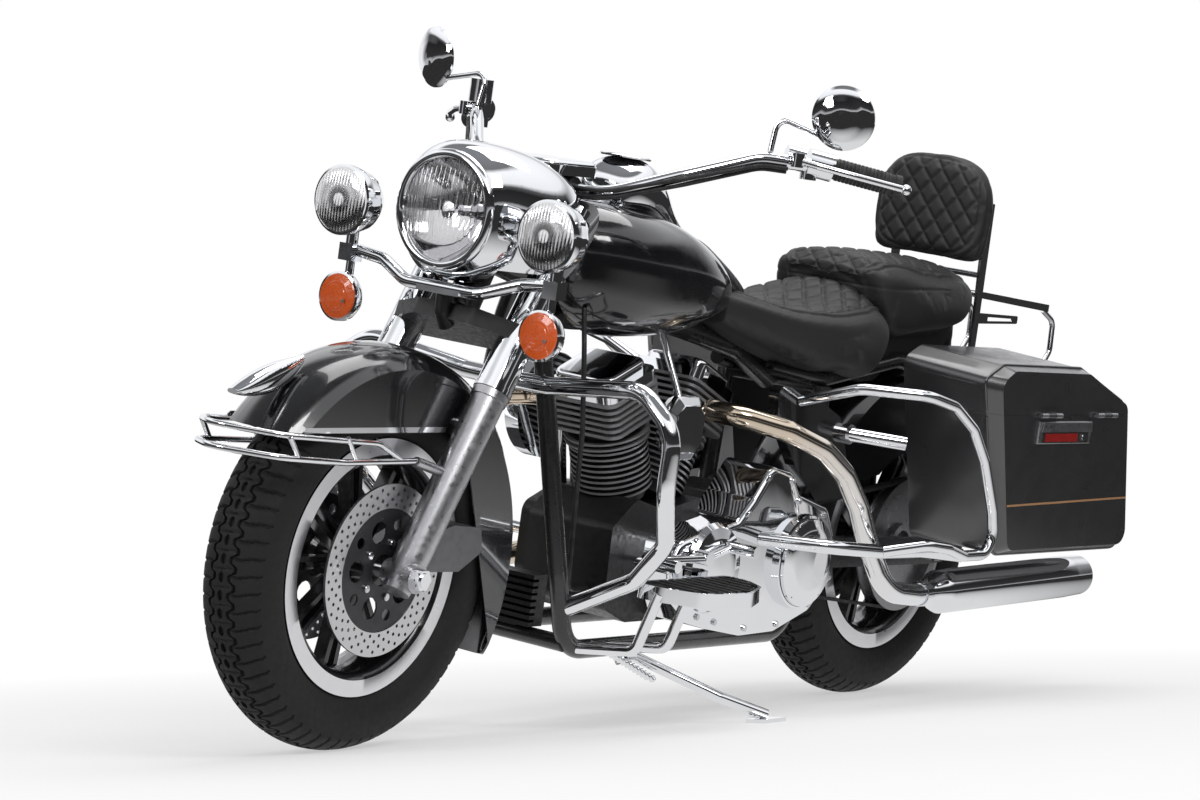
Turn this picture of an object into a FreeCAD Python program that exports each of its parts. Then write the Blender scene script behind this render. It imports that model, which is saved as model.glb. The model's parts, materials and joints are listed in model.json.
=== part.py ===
import FreeCAD, Part
import math
import os
import Sketcher

# Touring cruiser motorcycle, modelled upright: X forward from the rear axle, Y to the left,
# Z up from the ground line. At the end every piece gets the lean of the side stand.
V = FreeCAD.Vector
Rot = FreeCAD.Rotation
Place = FreeCAD.Placement

doc = FreeCAD.newDocument("touring_cruiser")
sheet = doc.addObject("Spreadsheet::Sheet", "dims")

DRIVING_SIZES = (
    ("lean_angle", 11.4), ("wheelbase", 1612), ("rake_angle", 26), ("trail", 157),
    ("axle_height", 319.65), ("tyre_radius", 318), ("tyre_half_width", 68), ("crown_radius", 82),
    ("tyre_height", 113), ("flange_height", 14), ("rim_half_width", 52), ("rim_lip", 15),
    ("hub_radius", 38), ("hub_half_width", 69.7), ("axle_radius", 12.5), ("spoke_count", 9),
    ("spoke_depth", 26), ("disc_radius", 146), ("disc_thickness", 5), ("carrier_radius", 104),
    ("carrier_thickness", 3.4), ("carrier_hole_radius", 19), ("carrier_small_radius", 10),
    ("disc_bore", 27), ("fork_spacing", 236), ("fork_angle", 29.25), ("fork_tube_radius", 20.6),
    ("slider_radius", 30), ("slider_length", 350), ("cover_radius", 32), ("head_tube_radius", 30),
    ("stem_radius", 12.7), ("frame_tube_radius", 17), ("frame_half_width", 122),
    ("bar_radius", 12.7), ("bar_half_width", 474), ("grip_radius", 18), ("grip_length", 118),
    ("headlight_radius", 103), ("passing_lamp_radius", 61), ("signal_radius", 43),
    ("lamp_spacing", 444), ("muffler_radius", 42), ("muffler_offset", 315), ("pipe_radius", 21),
    ("bag_wall", 4), ("bag_inner", 205), ("bag_outer", 416), ("bag_floor", 362),
    ("bag_seam", 636), ("guard_radius", 15.9), ("bag_guard_radius", 10.5), ("clutch_x", 552),
    ("clutch_z", 326), ("derby_radius", 82), ("crank_x", 838), ("crank_z", 318),
    ("cylinder_angle", 22.5), ("barrel_radius", 72), ("fin_pitch", 11), ("fin_thickness", 4),
    ("fender_wall", 2.5), ("fender_gap", 54), ("fender_half_width", 81),
    ("rear_fender_half_width", 92), ("stand_x", 985), ("stand_y", 157), ("stand_z", 162),
    ("foot_x", 821), ("foot_y", 360), ("running_clearance", 0.05), ("seat_gap", 0.3),
    ("pulley_radius", 126), ("belt_width", 21), ("air_cleaner_radius", 98), ("lid_hinge_y", 423),
)
for row, (alias, number) in enumerate(DRIVING_SIZES, 1):
    sheet.set(f"A{row}", alias)
    sheet.set(f"B{row}", str(number))
    sheet.setAlias(f"B{row}", alias)
doc.recompute()


class Size:
    """A length that is known both as a number and as an expression on the sheet."""

    def __init__(self, text, number):
        self.text = text
        self.number = number

    def __float__(self):
        return float(self.number)

    def __add__(self, other):
        return Size(f"{self.text} + ({text_of(other)})", float(self) + float(other))

    def __sub__(self, other):
        return Size(f"{self.text} - ({text_of(other)})", float(self) - float(other))

    def __neg__(self):
        return Size(f"-({self.text})", -float(self))

    def __mul__(self, factor):
        return Size(f"({self.text}) * {factor}", float(self) * factor)


def text_of(amount):
    return amount.text if isinstance(amount, Size) else repr(float(amount))


def cell(alias):
    """The named cell as a bound size."""
    return Size(f"dims.{alias}", float(sheet.get(alias)))


def size(alias):
    """The named cell as a plain number."""
    return float(sheet.get(alias))


pieces = []       # every sub-part: its document object and its place on the upright machine


def keep(obj, label, local=None):
    obj.Label = label
    pieces.append((obj, local or Place()))
    return obj


# Upright-machine geometry that several pieces share. The stations in the text below are those
# of the drawn wheelbase: between the swingarm pivot and the steering head they stretch with
# the real one, and ahead of the head they move along with the fork.
DRAWN_WHEELBASE, PIVOT_X, HEAD_X = 1612, 500, 1232
longer = size("wheelbase") - DRAWN_WHEELBASE
gap = size("seat_gap")
lean = math.radians(size("lean_angle"))
axle_z = size("axle_height")


def along(x):
    share = min(max((x - PIVOT_X) / (HEAD_X - PIVOT_X), 0), 1)
    return x + longer * share


def spot(x, y, z):
    """A point of the machine, from its drawn station."""
    return V(along(x), y, z)


def spots(points):
    return [spot(*point) for point in points]


rake = math.radians(size("rake_angle"))
ground_x = size("wheelbase") + size("trail")
steer_dir = V(-math.sin(rake), 0, math.cos(rake))
leg_angle = math.radians(size("fork_angle"))
leg_dir = V(-math.sin(leg_angle), 0, math.cos(leg_angle))
front_axle = V(size("wheelbase"), 0, axle_z)
leg_y = size("fork_spacing") / 2


def on_steering(height):
    """The point of the steering axis at a height above the ground."""
    return V(ground_x - height * math.tan(rake), 0, height)


def on_leg(distance, side=1):
    return front_axle + V(0, side * leg_y, 0) + leg_dir * distance


def mirrored(shape):
    return shape.mirror(V(0, 0, 0), V(0, 1, 0))


def fused(shapes):
    shapes = list(shapes)
    return shapes[0].fuse(shapes[1:]).removeSplitter() if len(shapes) > 1 else shapes[0]


def rounded_path(points, radius, closed=False):
    """Straight runs joined by tangent arcs, in space."""
    pts = [V(*p) for p in points]
    count = len(pts)
    starts, ends, arcs = {}, {}, {}
    corners = range(count) if closed else range(1, count - 1)
    for i in corners:
        before, here, after = pts[i - 1], pts[i], pts[(i + 1) % count]
        to_a, to_b = before - here, after - here
        len_a, len_b = to_a.Length, to_b.Length
        to_a.normalize()
        to_b.normalize()
        half = math.acos(max(-1.0, min(1.0, to_a.dot(to_b)))) / 2
        bend = radius[i] if isinstance(radius, (list, tuple)) else radius
        cut = min(bend / math.tan(half), 0.48 * min(len_a, len_b))
        bend = cut * math.tan(half)
        starts[i], ends[i] = here + to_a * cut, here + to_b * cut
        middle = (to_a + to_b).normalize() * (bend / math.sin(half) - bend)
        arcs[i] = Part.Arc(starts[i], here + middle, ends[i]).toShape()
    edges = []
    for i in range(count if closed else count - 1):
        nxt = (i + 1) % count
        a = ends.get(i, pts[i])
        b = starts.get(nxt, pts[nxt])
        if (b - a).Length > 1e-4:
            edges.append(Part.LineSegment(a, b).toShape())
        if nxt in arcs:
            edges.append(arcs[nxt])
    return Part.Wire(Part.__sortEdges__(edges))


def swept(path, section):
    """A section wire carried along a path as a closed solid."""
    shell = Part.BRepOffsetAPI.MakePipeShell(path)
    shell.setFrenetMode(False)
    shell.setTransitionMode(0)
    shell.add(section)
    shell.build()
    shell.makeSolid()
    return shell.shape()


def rod(points, radius, bend=30.0, closed=False):
    """A round bar bent along points."""
    path = rounded_path(points, bend, closed)
    first = path.OrderedEdges[0]
    at = first.valueAt(first.FirstParameter)
    along = first.tangentAt(first.FirstParameter)
    ring = Part.Wire([Part.makeCircle(radius, at, along)])
    return swept(path, ring)


def bar(start, end, radius, end_radius=None):
    """A straight round bar or cone between two points."""
    a, b = V(*start), V(*end)
    along = b - a
    if end_radius is None or abs(end_radius - radius) < 1e-6:
        return Part.makeCylinder(radius, along.Length, a, along)
    return Part.makeCone(radius, end_radius, along.Length, a, along)


def face_on(outline, radius):
    """A flat face from corner points, its corners rounded."""
    return Part.Face(rounded_path(outline, radius, closed=True))


def side_plate(outline, y_low, y_high, radius=8.0):
    """A plate in side view: (x, z) corners, between two widths."""
    face = face_on([(along(x), y_low, z) for x, z in outline], radius)
    return face.extrude(V(0, y_high - y_low, 0))


def flat_plate(outline, z_low, z_high, radius=8.0):
    face = face_on([(along(x), y, z_low) for x, y in outline], radius)
    return face.extrude(V(0, 0, z_high - z_low))


def oval(centre, axis_u, axis_v, half_u, half_v, power=2.4, count=16):
    """A closed smooth section: a rounded oval in the plane of two axes."""
    pts = []
    for i in range(count):
        angle = 2 * math.pi * i / count
        c, s = math.cos(angle), math.sin(angle)
        u = math.copysign(abs(c) ** (2 / power), c) * half_u
        v = math.copysign(abs(s) ** (2 / power), s) * half_v
        pts.append(centre + axis_u * u + axis_v * v)
    curve = Part.BSplineCurve()
    curve.interpolate(Points=pts, PeriodicFlag=True)
    return Part.Wire([curve.toShape()])


def lofted(wires, ruled=False):
    return Part.makeLoft(wires, True, ruled)


def hull_along_x(stations, power=2.6, shrink=0.0):
    """A body of oval sections: (x, half width, z low, z high) at each station."""
    wires = []
    for x, half, low, high in stations:
        wires.append(oval(spot(x, 0, (low + high) / 2), V(0, 1, 0), V(0, 0, 1),
                          half - shrink, (high - low) / 2 - shrink, power))
    return lofted(wires)


def revolved(outline, at, axis, angle=360.0):
    """A solid of revolution from an (axial, radial) outline about an axis."""
    frame = Place(V(*at), Rot(V(0, 0, 1), V(*axis)))
    pts = [V(r, 0, h) for h, r in outline]
    face = Part.Face(Part.makePolygon(pts + [pts[0]]))
    solid = face.revolve(V(0, 0, 0), V(0, 0, 1), angle)
    solid.Placement = frame
    return solid


def primitive(kind, label, at, axis, **bound):
    """A Part primitive standing at a point along an axis, its sizes bound to the sheet."""
    obj = doc.addObject(f"Part::{kind}", label)
    for name, amount in bound.items():
        setattr(obj, name, float(amount))
        if isinstance(amount, Size):
            obj.setExpression(name, amount.text)
    obj.Placement = Place(V(*at), Rot(V(0, 0, 1), V(*axis)))
    return obj


def cylinder(label, at, axis, radius, length):
    return primitive("Cylinder", label, at, axis, Radius=radius, Height=length)


def as_object(item, label):
    """A shape from curves in space becomes a document object; an object stays itself."""
    if not isinstance(item, Part.Shape):
        return item
    obj = doc.addObject("Part::Feature", label)
    obj.Shape = item
    return obj


def joined(label, items):
    """Several pieces fused into one."""
    union = doc.addObject("Part::MultiFuse", label)
    union.Shapes = [as_object(item, f"{label}_part") for item in items]
    union.Refine = True
    return union


def less(label, base, tools):
    """A piece with others cut out of it."""
    cut = doc.addObject("Part::Cut", label)
    cut.Base = as_object(base, f"{label}_blank")
    tools = [as_object(tool, f"{label}_tool") for tool in tools]
    if len(tools) == 1:
        cut.Tool = tools[0]
    else:
        cut.Tool = joined(f"{label}_tools", tools)
    cut.Refine = True
    return cut


def both_sides(label, item):
    """The left piece and its mirror image as one node of two solids."""
    left = as_object(item, f"{label}_left_one")
    right = doc.addObject("Part::Mirroring", f"{label}_right_one")
    right.Source = left
    right.Normal = V(0, 1, 0)
    return grouped(label, [left, right])


def grouped(label, items):
    group = doc.addObject("Part::Compound", label)
    group.Links = [as_object(item, f"{label}_part") for item in items]
    return group


def origin_plane(body, role):
    return next(item for item in body.Origin.OriginFeatures if item.Role == role)


def outline_sketch(body, name, role, points, arcs=()):
    """A closed outline on an origin plane, every corner held by the sheet's sizes.

    arcs names the sides that are arcs, each by the index of its first corner and the
    point that it passes through.
    """
    sketch = body.newObject("Sketcher::SketchObject", name)
    sketch.AttachmentSupport = (origin_plane(body, role), [""])
    sketch.MapMode = "FlatFace"
    through = dict(arcs)
    count = len(points)
    spots = [V(float(u), float(v), 0) for u, v in points]
    for i in range(count):
        a, b = spots[i], spots[(i + 1) % count]
        if i in through:
            u, v = through[i]
            sketch.addGeometry(Part.Arc(a, V(float(u), float(v), 0), b), False)
        else:
            sketch.addGeometry(Part.LineSegment(a, b), False)

    def ends(i):
        if i in through:
            curve = sketch.Geometry[i]
            forward = (curve.value(curve.FirstParameter) - spots[i]).Length < 1e-6
            return (1, 2) if forward else (2, 1)
        return 1, 2

    for i in range(count):
        nxt = (i + 1) % count
        sketch.addConstraint(Sketcher.Constraint("Coincident", i, ends(i)[1], nxt, ends(nxt)[0]))
    for i, (u, v) in enumerate(points):
        for kind, line, amount in (("DistanceX", -2, u), ("DistanceY", -1, v)):
            if abs(float(amount)) < 1e-9:
                sketch.addConstraint(Sketcher.Constraint("PointOnObject", i, ends(i)[0], line))
                continue
            index = sketch.addConstraint(
                Sketcher.Constraint(kind, -1, 1, i, ends(i)[0], float(amount)))
            if isinstance(amount, Size):
                sketch.setExpression(f"Constraints[{index}]", amount.text)
    for i in through:
        sketch.addConstraint(Sketcher.Constraint("Radius", i, sketch.Geometry[i].Radius))
    return sketch


def turned(label, points, arcs=(), at=None, axis=(0, 1, 0)):
    """A turned piece: its half section is drawn as (radius, along) about the Y axis."""
    body = doc.addObject("PartDesign::Body", label)
    sketch = outline_sketch(body, f"{label}_section", "XY_Plane", points, arcs)
    turn = body.newObject("PartDesign::Revolution", f"{label}_turned")
    turn.Profile = sketch
    turn.ReferenceAxis = (sketch, ["V_Axis"])
    turn.Angle = 360
    body.Tip = turn
    if at is not None:
        body.Placement = Place(V(*at), Rot(V(0, 1, 0), V(*axis)))
    doc.recompute()
    return body


# Wheels. Turned pieces are drawn as (radius, width) with the wheel's axle as the Y axis.
front_hub = Place(V(size("wheelbase"), 0, axle_z), Rot())
rear_hub = Place(V(0, 0, axle_z), Rot())
tyre_r, tyre_w = cell("tyre_radius"), cell("tyre_half_width")
bead = tyre_r - cell("tyre_height")
flange = bead + cell("flange_height")
rim_w, rim_lip = cell("rim_half_width"), cell("rim_lip")
hub_r, hub_w = cell("hub_radius"), cell("hub_half_width")
bore = cell("axle_radius") + cell("running_clearance")
fit = cell("seat_gap")
tread_w = tyre_w - 8
crown = cell("crown_radius")
shoulder_drop = Size(f"{crown.text} - sqrt(({crown.text})^2 - ({tread_w.text})^2)",
                     float(crown) - math.sqrt(float(crown) ** 2 - float(tread_w) ** 2))


def tyre(label, local):
    """A tyre whose bead sits between the rim's flanges."""
    shoulder = tyre_r - shoulder_drop
    middle = (flange + shoulder) * 0.5
    left = ((bead + fit, -rim_w + 9.3), (flange + fit, -rim_w + 6.3), (flange + 2, -rim_w + 2),
            (shoulder, -tread_w))
    right = tuple((r, -w) for r, w in reversed(left))
    arcs = ((2, (middle, -tyre_w)), (3, (tyre_r, 0)), (4, (middle, tyre_w)))
    keep(turned(label, left + right, arcs), label, local)


def cast_wheel(label, local):
    """A turned rim and hub with paired spokes between them."""
    inner = bead - rim_lip
    half = ((inner, -rim_w), (flange, -rim_w), (flange, -rim_w + 6), (bead, -rim_w + 9),
            (bead - 4, -rim_w + 30), (bead - 20, -rim_w + 38))
    barrel = ((inner - 9, rim_w - 7), (inner - 19, rim_w - 36), (inner - 19, -rim_w + 36),
              (inner - 9, -rim_w + 7))
    rim = half + tuple((r, -w) for r, w in reversed(half)) + barrel
    hub = ((bore, -hub_w), (hub_r, -hub_w), (hub_r, -hub_w + 8), (hub_r - 8, -hub_w + 16),
           (hub_r - 8, hub_w - 16), (hub_r, hub_w - 8), (hub_r, hub_w), (bore, hub_w))
    body = doc.addObject("PartDesign::Body", label)
    rim_sketch = outline_sketch(body, f"{label}_rim_section", "XY_Plane", rim)
    rim_turn = body.newObject("PartDesign::Revolution", f"{label}_rim")
    rim_turn.Profile = rim_sketch
    rim_turn.ReferenceAxis = (rim_sketch, ["V_Axis"])
    ribs = []
    for side in (-1, 1):
        corners = ((hub_r - 12, side * 2.5), (hub_r - 12, side * 11), (inner - 15, side * 18),
                   (inner - 15, side * 8))
        sketch = outline_sketch(body, f"{label}_rib_outline", "XZ_Plane", corners)
        rib = body.newObject("PartDesign::Pad", f"{label}_rib")
        rib.Profile = sketch
        rib.Length = size("spoke_depth")
        rib.setExpression("Length", "dims.spoke_depth")
        rib.Midplane = True
        ribs.append(rib)
    around = body.newObject("PartDesign::PolarPattern", f"{label}_spokes")
    around.Originals = ribs
    around.Axis = (rim_sketch, ["V_Axis"])
    around.Angle = 360
    around.Occurrences = int(size("spoke_count"))
    around.setExpression("Occurrences", "dims.spoke_count")
    body.Tip = around
    hub_sketch = outline_sketch(body, f"{label}_hub_section", "XY_Plane", hub)
    hub_turn = body.newObject("PartDesign::Revolution", f"{label}_hub")
    hub_turn.Profile = hub_sketch
    hub_turn.ReferenceAxis = (hub_sketch, ["V_Axis"])
    bore_sketch = outline_sketch(body, f"{label}_bore_section", "XY_Plane", (
        (0, -hub_w - 1), (bore, -hub_w - 1), (bore, hub_w + 1), (0, hub_w + 1)))
    hole = body.newObject("PartDesign::Groove", f"{label}_bore")
    hole.Profile = bore_sketch
    hole.ReferenceAxis = (bore_sketch, ["V_Axis"])
    body.Tip = hole
    doc.recompute()
    keep(body, label, local)


tyre("front_tyre", front_hub)
tyre("rear_tyre", rear_hub)
cast_wheel("front_wheel_casting", front_hub)
cast_wheel("rear_wheel_casting", rear_hub)


def brake_disc(label, side):
    """A disc on its carrier, whose inner face lies on the hub's end."""
    thick, carrier = cell("disc_thickness"), cell("carrier_thickness")
    face = size("hub_half_width")
    disc = turned(f"{label}_ring", ((cell("disc_bore"), 0), (cell("disc_radius"), 0),
                                    (cell("disc_radius"), thick), (cell("carrier_radius"), thick),
                                    (cell("carrier_radius"), carrier), (cell("disc_bore"), carrier)),
                  at=(0, side * face, 0), axis=(0, side, 0))
    holes = []
    for i in range(5):
        for alias, reach, turn in (("carrier_hole_radius", 67, 0), ("carrier_small_radius", 80, 36)):
            angle = math.radians(72 * i + turn)
            centre = V(reach * math.cos(angle), side * (face - 1), reach * math.sin(angle))
            holes.append(cylinder(f"{label}_hole", centre, (0, side, 0), cell(alias), thick + 2))
    return less(label, disc, holes)


keep(grouped("front_discs", [brake_disc("front_disc_left", 1), brake_disc("front_disc_right", -1)]),
     "front_discs", front_hub)
belt_r, belt_w = cell("pulley_radius"), cell("belt_width")
pulley = turned("rear_pulley", ((cell("disc_bore"), 0), (belt_r + 7, 0), (belt_r + 7, 3), (belt_r, 3),
                                (belt_r, belt_w + 4), (belt_r + 7, belt_w + 4),
                                (belt_r + 7, belt_w + 7), (belt_r - 14, belt_w + 7), (belt_r - 14, 10),
                                (40, 10), (40, 20), (cell("disc_bore"), 20)),
                at=(0, size("hub_half_width"), 0))
keep(grouped("rear_pulley_and_disc", [pulley, brake_disc("rear_disc", -1)]),
     "rear_pulley_and_disc", rear_hub)


def axle(label, place, nut_face, nut_radius):
    """A shaft with a hexagonal nut outside each fork end."""
    nut_thick = 14
    shaft = cylinder(f"{label}_shaft", V(0, -nut_face - nut_thick - 3, 0), V(0, 1, 0),
                     cell("axle_radius"), 2 * (nut_face + nut_thick + 3))
    nuts = [primitive("Prism", f"{label}_nut", V(0, y, 0), V(0, 1, 0), Circumradius=nut_radius,
                      Height=nut_thick) for y in (-nut_face - nut_thick, nut_face)]
    keep(joined(label, [shaft] + nuts), label, place)


boss_half, arm_outer = 31, 161
axle("front_axle", front_hub, leg_y + boss_half, 19)
axle("rear_axle", rear_hub, arm_outer, 20)

# Fork: sliders, tubes with covers, and the two yokes that turn on the stem.
slider_r, tube_radius = cell("slider_radius"), cell("fork_tube_radius")
slider_top = size("slider_length")
slider = joined("fork_slider", [
    cylinder("slider_tube", on_leg(30), leg_dir, slider_r, cell("slider_length") - 30),
    primitive("Cone", "slider_foot", on_leg(-30), leg_dir, Radius1=24, Radius2=slider_r, Height=60),
    cylinder("slider_boss", front_axle + V(0, leg_y - boss_half, 0), V(0, 1, 0), 25, 2 * boss_half),
    cylinder("slider_collar", on_leg(slider_top - 14), leg_dir, slider_r + 2.5, 14),
    cylinder("fender_boss", on_leg(285) - V(0, leg_y - size("fender_half_width") - gap, 0),
             V(0, 1, 0), 10, leg_y - size("fender_half_width") - gap),
    bar((along(1612) - 3.5, leg_y - 8, 509), on_leg(190), 9)])
keep(both_sides("fork_sliders", less("fork_slider_bored", slider, [
    cylinder("slider_axle_hole", front_axle + V(0, -200, 0), V(0, 1, 0), cell("axle_radius"), 400),
    cylinder("slider_tube_hole", on_leg(120), leg_dir, tube_radius, slider_top)])), "fork_sliders")
cover_top = 585
keep(both_sides("fork_tubes", joined("fork_tube", [
    cylinder("leg_tube", on_leg(120), leg_dir, tube_radius, 594),
    cylinder("leg_cover", on_leg(slider_top + 1), leg_dir, cell("cover_radius"),
             cover_top - slider_top - 1),
    cylinder("cover_ring", on_leg(slider_top + 1), leg_dir, cell("cover_radius") + 1.6, 10)])),
    "fork_tubes")


def yoke(height, thick, behind, hole, grow=0.0):
    """A fork yoke square to the steering axis, with holes for what it clamps."""
    half_width = 143 + grow
    centre = on_steering(height) - steer_dir * grow
    rear, front = -behind - grow, 38 + grow
    outline = ((rear, -half_width), (-4, -half_width), (front, -60), (front, 60), (-4, half_width),
               (rear, half_width))
    face = face_on([(x, y, 0) for x, y in outline], 28)
    plate = face.extrude(V(0, 0, thick + 2 * grow))
    plate.Placement = Place(centre, Rot(V(0, 1, 0), -math.degrees(rake)))
    return plate.cut([bar(on_leg(100, side), on_leg(800, side), hole) for side in (-1, 1)])


BAR = spots(((1215, 128, 972), (1130, 225, 1022), (1030, 312, 1070), (923, 390, 1068),
             (836, size("bar_half_width"), 1052)))
bar_centre = spot(1215, 0, 974)
handlebar_rod = rod([V(p.x, -p.y, p.z) for p in reversed(BAR)] + BAR, size("bar_radius"), 90)
lower_yoke = yoke(718, 30, 66, size("cover_radius"))
upper_yoke = yoke(922, 24, 72, size("fork_tube_radius"))
stem = cylinder("stem", on_steering(718), steer_dir, cell("stem_radius"), 238)
risers = []
for side in (-1, 1):
    foot = spot(1264, side * 50, 900)
    risers += [bar(foot, spot(1218, side * 50, 968), 18),
               cylinder("bar_clamp", bar_centre + V(0, side * 50 - 15, 0), V(0, 1, 0), 21, 30)]
lamp_y = size("lamp_spacing") / 2
bracket = rod(spots([(1436, 0, 722), (1452, 0, 746), (1452, 0, 775 - gap)]), 14, 14)
keep(less("steering_yokes", joined("yokes", [lower_yoke, upper_yoke, stem, bracket] + risers),
          [rod([V(p.x, -p.y, p.z) for p in reversed(BAR)] + BAR, size("bar_radius"), 90)]),
     "steering_yokes")
NACELLE = ((1478, 98, 820, 1017), (1462, 110, 806, 1030), (1412, 136, 780, 1038),
           (1350, 152, 774, 1032), (1295, 144, 816, 1016), (1252, 110, 876, 998))
clamp_top = float(bar_centre.z) + 21 + gap
cap = face_on([(along(1150), -74, clamp_top), (along(1286), -62, clamp_top),
               (along(1286), 62, clamp_top), (along(1150), 74, clamp_top)], 26).extrude(V(0, 0, 26))
cap = cap.makeFillet(9, [e for e in cap.Edges if e.CenterOfMass.z > clamp_top + 25])
cap = cap.cut(hull_along_x(NACELLE, 2.3, shrink=-gap))
keep(grouped("handlebar", [handlebar_rod, cap]), "handlebar")

# Nacelle: a hollow shell round the top of the fork that carries the headlight.
head_r = size("headlight_radius")


def nacelle_shell():
    outer = hull_along_x(NACELLE, 2.3)
    inner = hull_along_x([(x - 3 * (i == 0) + 3 * (i == 5), w, a, b)
                          for i, (x, w, a, b) in enumerate(NACELLE)], 2.3, shrink=3.0)
    shell = outer.cut(inner)
    mouth = Part.makeCylinder(head_r - 13, 60, spot(1450, 0, 918), V(1, 0, 0))
    legs = [bar(on_leg(400, s), on_leg(780, s), size("cover_radius") + gap) for s in (-1, 1)]
    legs += [yoke(718, 30, 66, 5, gap), yoke(922, 24, 72, 5, gap)]
    slots = [Part.makeBox(176, 330, 70, spot(1264, -165, 760)),
             Part.makeBox(190, 190, 130, spot(1230, -95, 770)),
             bar(spot(1450, 0, 740), spot(1452, 0, 800), 16)]
    clamps = [bar(spot(1264, s * 50, 900), spot(1218, s * 50, 968), 18 + gap) for s in (-1, 1)]
    return max(shell.cut([mouth] + slots + legs + clamps).Solids, key=lambda s: s.Volume)


keep(as_object(nacelle_shell(), "headlight_nacelle"), "headlight_nacelle")


def lamp_section(depth, radius):
    """A lamp bowl with its rim and bulged lens, as (radius, along)."""
    return ((0, -depth), (radius * 0.45, -depth), (radius * 0.86, -depth * 0.55), (radius, -8),
            (radius, 4), (radius - 5, 6), (radius * 0.6, 10), (0, 12))


lens_front = 1478
keep(turned("headlight", ((0, -58), (40, -58), (head_r - 15, -2), (head_r - 15, gap), (head_r, gap),
                          (head_r, 6), (head_r - 4, 11), (head_r - 13, 12), (head_r - 16, 8),
                          (head_r * 0.5, 17), (0, 20)), at=spot(lens_front, 0, 918),
            axis=(1, 0, 0)), "headlight")
lamps = []
for side in (-1, 1):
    y = side * lamp_y
    lamps += [turned("passing_lamp", lamp_section(78, cell("passing_lamp_radius")),
                     at=spot(1482, y, 904), axis=(1, 0, 0)),
              cylinder("lamp_stem", spot(1444, y, 812), V(0, 0, 1), 11, 50),
              primitive("Box", "lamp_block", spot(1430, y - 15, 800), V(0, 0, 1), Length=28,
                        Width=30, Height=30)]
lamp_bar = rod(spots([(1440, -lamp_y - 6, 822), (1440, -150, 814), (1462, -78, 786),
                      (1462, 78, 786), (1440, 150, 814), (1440, lamp_y + 6, 822)]), 11, 60)
bar_plate = primitive("Box", "lamp_bar_plate", spot(1430, -46, 776 + gap), V(0, 0, 1), Length=44,
                      Width=92, Height=9)
keep(joined("passing_lamps", [lamp_bar, bar_plate] + lamps), "passing_lamps")
signal = joined("turn_signal", [
    turned("signal_cup", lamp_section(34, cell("signal_radius")), at=spot(1462, lamp_y - 3, 738),
           axis=(1, 0, 0)),
    cylinder("signal_stem", spot(1444, lamp_y - 3, 760), V(0, 0, 1), 8, 40 - gap)])
keep(both_sides("turn_signals", signal), "turn_signals")


# Front fender: a deep valanced shell over the tyre.
def fender_shell(half_width, at, keep_outline):
    """A shell round a wheel, kept inside a side outline drawn about the axle."""
    radius = size("tyre_radius") + size("fender_gap")
    drawn_radius = 372
    scale = radius / drawn_radius
    wall, side_drop, skirt, steps = size("fender_wall"), 34 * scale, 190 * scale, 8
    flat = [(-half_width, skirt), (-half_width, radius - side_drop)]
    for i in range(1, steps):
        y = -half_width + 2 * half_width * i / steps
        flat.append((y, radius - side_drop + side_drop * (1 - (y / half_width) ** 2) ** 0.5))
    flat += [(half_width, radius - side_drop), (half_width, skirt)]
    inner = [(y * (half_width - wall) / half_width, r - (wall if r > skirt else 5)) for y, r in flat]
    corners = [(at.x + x * scale, -half_width - 5, at.z + z * scale) for x, z in keep_outline]
    side = face_on(corners, 20).extrude(V(0, 2 * half_width + 10, 0))
    return revolved(flat, at, (0, 1, 0)).cut(revolved(inner, at, (0, 1, 0))).common(side)


FRONT_KEEP = ((373, 232), (378, 440), (-432, 440), (-432, -164), (-318, -164), (-192, 160),
              (-122, 232))
front_fender = fender_shell(size("fender_half_width"), front_axle, FRONT_KEEP)
keep(as_object(front_fender, "front_fender"), "front_fender")


def rail_round(points, radius):
    """A rail that runs round the front of the fender, drawn for the left half."""
    half = [V(front_axle.x + x, y, z) for x, y, z in points]
    return rod([V(p.x, -p.y, p.z) for p in reversed(half) if p.y] + half, radius, 60)


LOW_RAIL = ((382, 0, 520), (318, 92, 516), (174, 106, 509), (-1.8, 110, 510))
HIGH_RAIL = ((392, 0, 558), (308, 94, 551), (96, 108, 540), (34, 109, 513))
posts = [bar(spot(x, s * y, 515), spot(x + 26, s * (y - 1), 549), 4.5)
         for x, y in ((1890, 96), (1760, 106)) for s in (-1, 1)]
strips = [side_plate(((1506, 553), (1506, 562), (1862, 562), (1874, 553)), y, y + 2.4, 2)
          for y in (size("fender_half_width") + gap, -size("fender_half_width") - gap - 2.4)]
ornament = hull_along_x(((1960, 10, 604, 612), (1930, 17, 600, 628), (1880, 18, 604, 650),
                         (1830, 12, 622, 662), (1800, 6, 650, 668)), 2.4)
fender_solid = revolved([(-70, 0), (-70, size("tyre_radius") + size("fender_gap") + gap),
                         (70, size("tyre_radius") + size("fender_gap") + gap), (70, 0)],
                        front_axle, (0, 1, 0))
keep(grouped("fender_bumper", [
    joined("bumper", [rail_round(LOW_RAIL, 5.5), rail_round(HIGH_RAIL, 5)] + posts),
    ornament.cut(fender_solid)] + strips), "fender_bumper")

leg_room = bar(on_leg(-60), on_leg(400), size("slider_radius") + gap)
boss_room = bar(front_axle + V(0, 60, 0), front_axle + V(0, 160, 0), 25 + gap)
disc_room = Part.makeCylinder(size("disc_radius") + 3, 11, front_axle + V(0, 67, 0), V(0, 1, 0))
caliper = joined("caliper", [
    side_plate(((1392, 350), (1402, 392), (1476, 398), (1590, 372), (1590, 322), (1450, 318)),
               78.5, 106, 10),
    side_plate(((1392, 350), (1402, 392), (1476, 398), (1516, 378), (1520, 326), (1450, 318)),
               54, 79, 10)])
keep(both_sides("brake_calipers", less("caliper_cut", caliper, [disc_room, leg_room, boss_room])),
     "brake_calipers")

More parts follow.
